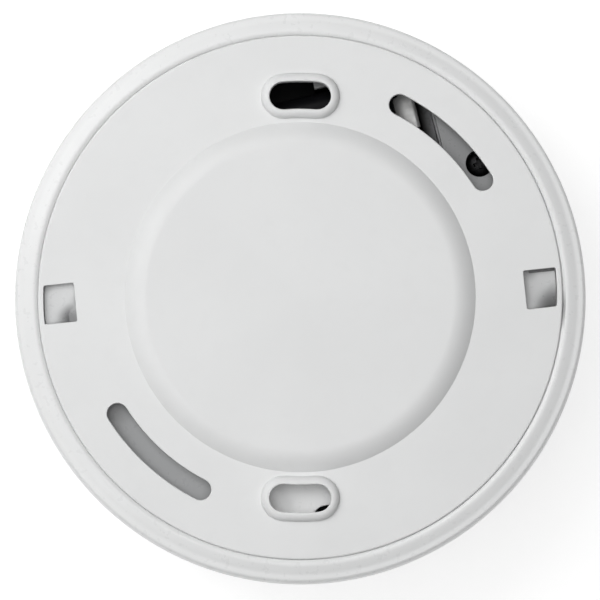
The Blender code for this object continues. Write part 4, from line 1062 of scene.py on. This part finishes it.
def make_test_button():
    """The round push button with its dished face, flange and stem."""
    flange_front = FRONT_FACE + COVER_WALL + GAP
    profile = [(0.0, STEM_TIP)]
    profile += arc((BUTTON_STEM - 0.2, STEM_TIP - 0.2), 0.2, 90.0, 0.0, 3)
    profile += arc((BUTTON_STEM + 0.5, BUTTON_FLANGE_REAR + 0.5), 0.5, 180.0, 270.0, 4)
    profile += [(BUTTON_FLANGE - 0.15, BUTTON_FLANGE_REAR), (BUTTON_FLANGE, BUTTON_FLANGE_REAR - 0.15),
                (BUTTON_FLANGE, flange_front), (BUTTON_RADIUS, flange_front)]
    profile += arc((BUTTON_RADIUS - BUTTON_EDGE, BUTTON_FACE + BUTTON_EDGE), BUTTON_EDGE, 0.0, -90.0, 8)
    reach = BUTTON_RADIUS - BUTTON_EDGE - BUTTON_RIM
    for i in range(1, 13):
        inward = 1.0 - i / 12.0
        profile.append((reach * inward, BUTTON_FACE + BUTTON_DISH * (1.0 - inward ** 2)))
    button = turned("push_button", profile, 128)
    piece(button, BUTTON_WHITE, "button", "white_plastic", "test_button")


def coil(name, radius, wire, low, high, turns, steps=40, sides=12):
    """A compression coil of round wire, its end turns closed up flat."""
    shape = bmesh.new()
    end_rise = 2.1 * wire
    middle_rise = (high - low - 2.0 * wire - 2.0 * end_rise) / (turns - 2)
    rings = []
    for i in range(turns * steps + 1):
        turn = i / steps
        height = low + wire + end_rise * min(turn, 1.0)
        height += middle_rise * min(max(turn - 1.0, 0.0), turns - 2.0)
        height += end_rise * max(turn - (turns - 1.0), 0.0)
        ring = []
        for out, up in arc((0.0, 0.0), wire, 0.0, 360.0 - 360.0 / sides, sides - 1):
            ring.append(shape.verts.new([v * MM for v in (*polar(radius + out, 360.0 * turn), height + up)]))
        rings.append(ring)
    for near, far in zip(rings, rings[1:]):
        for i in range(sides):
            j = (i + 1) % sides
            shape.faces.new((near[i], near[j], far[j], far[i]))
    shape.faces.new(rings[0][::-1])
    shape.faces.new(rings[-1])
    return mesh_object(name, shape)


def make_button_spring():
    """The button's return coil, built at one length with a mesh of its own; the real coil shortens as the
    button goes in.
    """
    low, high = bottom_of("button_spring"), top_of("button_spring")
    made = coil("return_coil", SPRING_RADIUS, SPRING_WIRE, low, high, SPRING_TURNS)
    piece(made, SPRING_STEEL, "alarm", "steel", "button_spring")
    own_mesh(made)


# ---------------------------------------------------------------- battery and contacts

def battery_outline(inset):
    middle_z = (BATTERY_TOP + BATTERY_BOTTOM) / 2.0
    half_z = (BATTERY_TOP - BATTERY_BOTTOM) / 2.0
    return rounded_rectangle(BATTERY_V, (middle_z - half_z, middle_z + half_z), SLEEVE_CORNER, -inset, 8)


def make_battery():
    """The battery's sleeve with rolled ends, its two end plates and its two snaps."""
    start, stop = BATTERY_U
    ends = [(1.6, 1.8), (1.6, 0.3), (1.3, 0.06), (0.9, 0.0), (0.5, 0.1), (0.2, 0.35), (0.05, 0.7), (0.0, 1.1)]
    sections = [(battery_outline(inset), start + rise) for inset, rise in ends]
    sections += [(battery_outline(inset), stop - rise) for inset, rise in ends[::-1]]
    piece(lofted("battery_sleeve", sections, along_u()), SLEEVE, "alarm", "battery_jacket", "battery_case")
    near, far = END_PLATE
    for name, node, low, high in (
            ("battery_top_plate", "battery_terminal_plate", stop - far, stop - near),
            ("battery_end_plate", "battery_base_plate", start + near, start + far)):
        plate = slab(name, lambda grow: battery_outline(END_PLATE_INSET - grow),
                     low, high, 0.2, 0.2, along_u())
        piece(plate, SATIN_BLACK, "alarm", "black_plastic", node)

    middle_v = sum(BATTERY_V) / 2.0
    middle_z = (BATTERY_TOP + BATTERY_BOTTOM) / 2.0
    snap = [(0.0, TERMINAL_HEIGHT - 0.25), (1.3, TERMINAL_HEIGHT - 0.25), (1.7, TERMINAL_HEIGHT)]
    snap += arc((2.3, TERMINAL_HEIGHT - 0.6), 0.6, 90.0, -20.0, 8)
    snap += [(2.55, 0.9), (2.7, 0.6), (3.5, 0.45), (3.6, 0.15), (0.0, 0.15)]
    socket = [(0.0, 0.6), (2.7, 0.6), (3.0, 0.8), (3.0, TERMINAL_HEIGHT - 0.3), (3.2, TERMINAL_HEIGHT),
              (3.8, TERMINAL_HEIGHT), (4.1, TERMINAL_HEIGHT - 0.4), (3.9, 0.9), (3.7, 0.15), (0.0, 0.15)]
    for name, node, offset, profile, steps in (
            ("snap_stud", "battery_positive_terminal", TERMINAL_OFFSET, snap, 64),
            ("snap_socket", "battery_negative_terminal", -TERMINAL_OFFSET, socket, 6)):
        stud = turned(name, profile, steps)
        place = along_u() @ Matrix.Translation(((middle_v + offset) * MM, middle_z * MM, BATTERY_U[1] * MM))
        stud.data.transform(place)
        piece(stud, SNAP_NICKEL, "alarm", "nickel_plate", node)


def make_contacts():
    """Springy nickel strips, bent over in a crowned tab above the battery's studs."""
    middle_v = sum(BATTERY_V) / 2.0
    front = CONTACT_BLOCK_U[0] - GAP
    low, top = CONTACT_Z
    corner = (front - CONTACT_BEND, top - CONTACT_BEND)
    tab = [(CONTACT_TAB_U + u, top - fall) for u, fall in CONTACT_TAB_FALL]
    outline = [(front, low)] + arc(corner, CONTACT_BEND, 0.0, 90.0, 6) + tab
    outline += [(u + 0.05, z - CONTACT_SHEET) for u, z in tab[::-1]]
    outline += arc(corner, CONTACT_BEND - CONTACT_SHEET, 90.0, 0.0, 6) + [(front - CONTACT_SHEET, low)]
    # The positive strip wears the painted-light copy of the nickel
    for name, node, offset, look in (("positive_strip", "positive_contact", TERMINAL_OFFSET, LIT_TAB_NICKEL),
                                     ("negative_strip", "negative_contact", -TERMINAL_OFFSET, NICKEL)):
        sections = []
        for i in range(13):
            side = i / 6.0 - 1.0
            outside = max(abs(side) - CONTACT_TAB_SQUARE, 0.0) / (1.0 - CONTACT_TAB_SQUARE)
            tip = CONTACT_TAB_U + CONTACT_TAB_ROUND * (1.0 - math.sqrt(max(1.0 - outside ** 2, 0.0)))
            section = []
            for u, z in outline:
                if z > top - CONTACT_TAB_DEPTH:
                    z -= CONTACT_CROWN * side * side if u < corner[0] else 0.0
                    u = max(u, tip)
                section.append((u, z))
            sections.append((section, -(middle_v + offset) + CONTACT_HALF_WIDTH * side))
        piece(lofted(name, sections, in_bay(ACROSS_Z)), look, "alarm", "nickel_plate", node)


def make_contact_carrier():
    """The moulded block behind the strips; its upper face ramps up to a rib at the pocket's end."""
    low_u, high_u = CONTACT_BLOCK_U[0], POCKET_U - 0.05
    low_v, high_v = widen(POCKET_V, -0.6)
    bottom = BATTERY_BOTTOM + GAP
    ramp_top = top_of("contact_carrier")
    ramp_foot = ramp_top - 1.2
    outline = [(low_u, bottom), (high_u, bottom), (high_u, RIB_TOP), (high_u - RIB_WIDTH, RIB_TOP - 0.05),
               (high_u - RIB_WIDTH - 0.1, ramp_top), (low_u + 0.2, ramp_foot), (low_u, ramp_foot - 0.2)]
    block = lofted("carrier_block", [(outline, -high_v), (outline, -low_v)], in_bay(ACROSS_Z))
    piece(block, CARRIER_BLACK, "alarm", "black_plastic", "contact_carrier")


def make_cover_screws():
    """Black pan-head screws with a cross recess, at the bottom of their wells."""
    seat = WELL_FLOOR + GAP
    head, height, shank, length = COVER_SCREW
    wide, narrow = head * 0.55, head * 0.16
    recess = (((-wide * 0.6, wide * 0.6), (-narrow * 0.7, narrow * 0.7), seat + 0.35),
              ((-wide, wide), (-narrow, narrow), seat + height + 0.3))
    for i, angle in enumerate(WELL_ANGLES, 1):
        centre = polar(WELL_CENTRES, angle)
        profile = [(0.0, seat + height)]
        profile += oval_arc((0.0, seat + 0.3), head, height - 0.3, 75.0, 0.0, 9)
        profile += [(head, seat + 0.12), (head - 0.12, seat), (shank, seat), (shank, seat - length + 1.0),
                    (shank * 0.3, seat - length), (0.0, seat - length)]
        screw = turned(f"well_screw_{i}", profile, SMALL_STEPS, centre)
        for turn in (20.0 * i, 20.0 * i + 90.0):
            place = (Matrix.Translation((centre[0] * MM, centre[1] * MM, 0.0))
                     @ Matrix.Rotation(math.radians(turn), 4, "Z"))
            sections = [(rounded_rectangle(across, along, 0.1), level) for across, along, level in recess]
            cut(screw, lofted("cross_recess", sections, place))
        piece(screw, OXIDE, "alarm", "blackened_steel", f"cover_screw_{i}")


# ---------------------------------------------------------------- carried-over parts

def numbered(name, count):
    return [f"{name}_{i}" for i in range(1, count + 1)]


def dress_frame_parts():
    """Give each CAD part that stays its finished material."""
    looks = (
        (ZINC, "insect_mesh", *numbered("board_screw", 3), *numbered("piezo_contact_spring", 2)),
        (SATIN_BLACK, "chamber_base", "chamber_cap", "photodiode_receiver", "sounder_cup", "sounder_cap",
         "detector_chip", "test_switch_case"),
        (RED_PVC, "battery_lead_positive"), (BLACK_PVC, "battery_lead_negative"),
        (LAMINATE, "circuit_board"), (EMITTER_RESIN, "infrared_emitter"), (LED_RESIN, "indicator_led"),
        (ACRYLIC, "light_guide"), (BRASS, "piezo_disc"), (CERAMIC, "piezo_ceramic"),
        (CAN_SLEEVE, *numbered("electrolytic_capacitor", 2)), (FERRITE, "sounder_transformer"),
        (RESISTOR, *numbered("resistor", 3)), (IVORY, "test_switch_plunger"),
    )
    for look, *nodes in looks:
        for node in nodes:
            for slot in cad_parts[node].material_slots:
                slot.material = look


# ---------------------------------------------------------------- studio

FLOOR_GLOW = 0.66
CAMERA_DISTANCE = 0.9985
CAMERA_TILT = 2.6
CAMERA_LENS = 342.0
AIM = (-0.00005, -0.00021, WIDEST * MM)


def soft_box(name, place, width, height, power, target=(0.0, 0.0, -0.01)):
    light = bpy.data.lights.new(name, "AREA")
    light.shape = "RECTANGLE"
    light.size = width
    light.size_y = height
    light.energy = power
    made = bpy.data.objects.new(name, light)
    made.location = place
    made.rotation_euler = (Vector(target) - Vector(place)).to_track_quat("-Z", "Y").to_euler()
    bpy.context.scene.collection.objects.link(made)
    return made


def around(distance, azimuth, elevation):
    """A place round the object, from its middle."""
    across = distance * math.cos(math.radians(elevation))
    return (*polar(across, azimuth), distance * math.sin(math.radians(elevation)))


def make_floor():
    shape = bmesh.new()
    bmesh.ops.create_grid(shape, x_segments=24, y_segments=24, size=3.0)
    floor = mesh_object("studio_floor", shape)
    floor.location.z = FRONT_FACE * MM - 0.0001
    made = bpy.data.materials.new("studio_paper")
    made.use_nodes = True
    shader = made.node_tree.nodes["Principled BSDF"]
    shader.inputs["Base Color"].default_value = (0.48, 0.48, 0.48, 1.0)
    shader.inputs["Roughness"].default_value = 0.9
    shader.inputs["Specular IOR Level"].default_value = 0.1
    shader.inputs["Emission Color"].default_value = (1.0, 1.0, 1.0, 1.0)
    shader.inputs["Emission Strength"].default_value = FLOOR_GLOW
    floor.data.materials.append(made)


def make_studio():
    make_floor()
    soft_box("overhead_box", (0.0, 0.0, 1.8), 1.2, 1.2, 11.0)
    soft_box("upper_left_box", (-0.28, 0.22, 0.62), 0.35, 0.35, 1.55)
    for azimuth, power in ((135.0, 0.42), (155.0, 0.40), (175.0, 0.34)):
        soft_box(f"key_box_{azimuth:.0f}", around(0.6, azimuth, 40.0), 0.35, 0.35, power)
    soft_box("fill_box", around(1.3, 270.0, 28.0), 0.5, 0.4, 1.2)
    soft_box("far_strip", around(1.0, 92.0, 60.0), 0.40, 0.12, 0.8)
    soft_box("near_left_strip", around(1.0, 214.0, 60.0), 0.40, 0.12, 0.9)
    world = bpy.data.worlds.new("studio_world")
    bpy.context.scene.world = world
    world.use_nodes = True
    backdrop = world.node_tree.nodes["Background"]
    backdrop.inputs["Color"].default_value = (1.0, 1.0, 1.0, 1.0)
    backdrop.inputs["Strength"].default_value = 0.085


def make_camera():
    camera = bpy.data.cameras.new("camera")
    camera.lens = CAMERA_LENS
    camera.sensor_width = 36.0
    camera.clip_start = 0.01
    camera.clip_end = 20.0
    made = bpy.data.objects.new("camera", camera)
    tilt = math.radians(CAMERA_TILT)
    away = Vector((0.0, -math.sin(tilt), math.cos(tilt)))
    made.location = Vector(AIM) + away * CAMERA_DISTANCE
    made.rotation_euler = (tilt, 0.0, 0.0)
    bpy.context.scene.collection.objects.link(made)
    bpy.context.scene.camera = made
    settings = bpy.context.scene.view_settings
    settings.view_transform = "Standard"
    settings.look = "None"


make_mounting_plate()
make_rear_housing()
make_front_cover()
make_test_button()
make_button_spring()
make_battery()
make_contacts()
make_contact_carrier()
make_cover_screws()
dress_frame_parts()
make_studio()
make_camera()
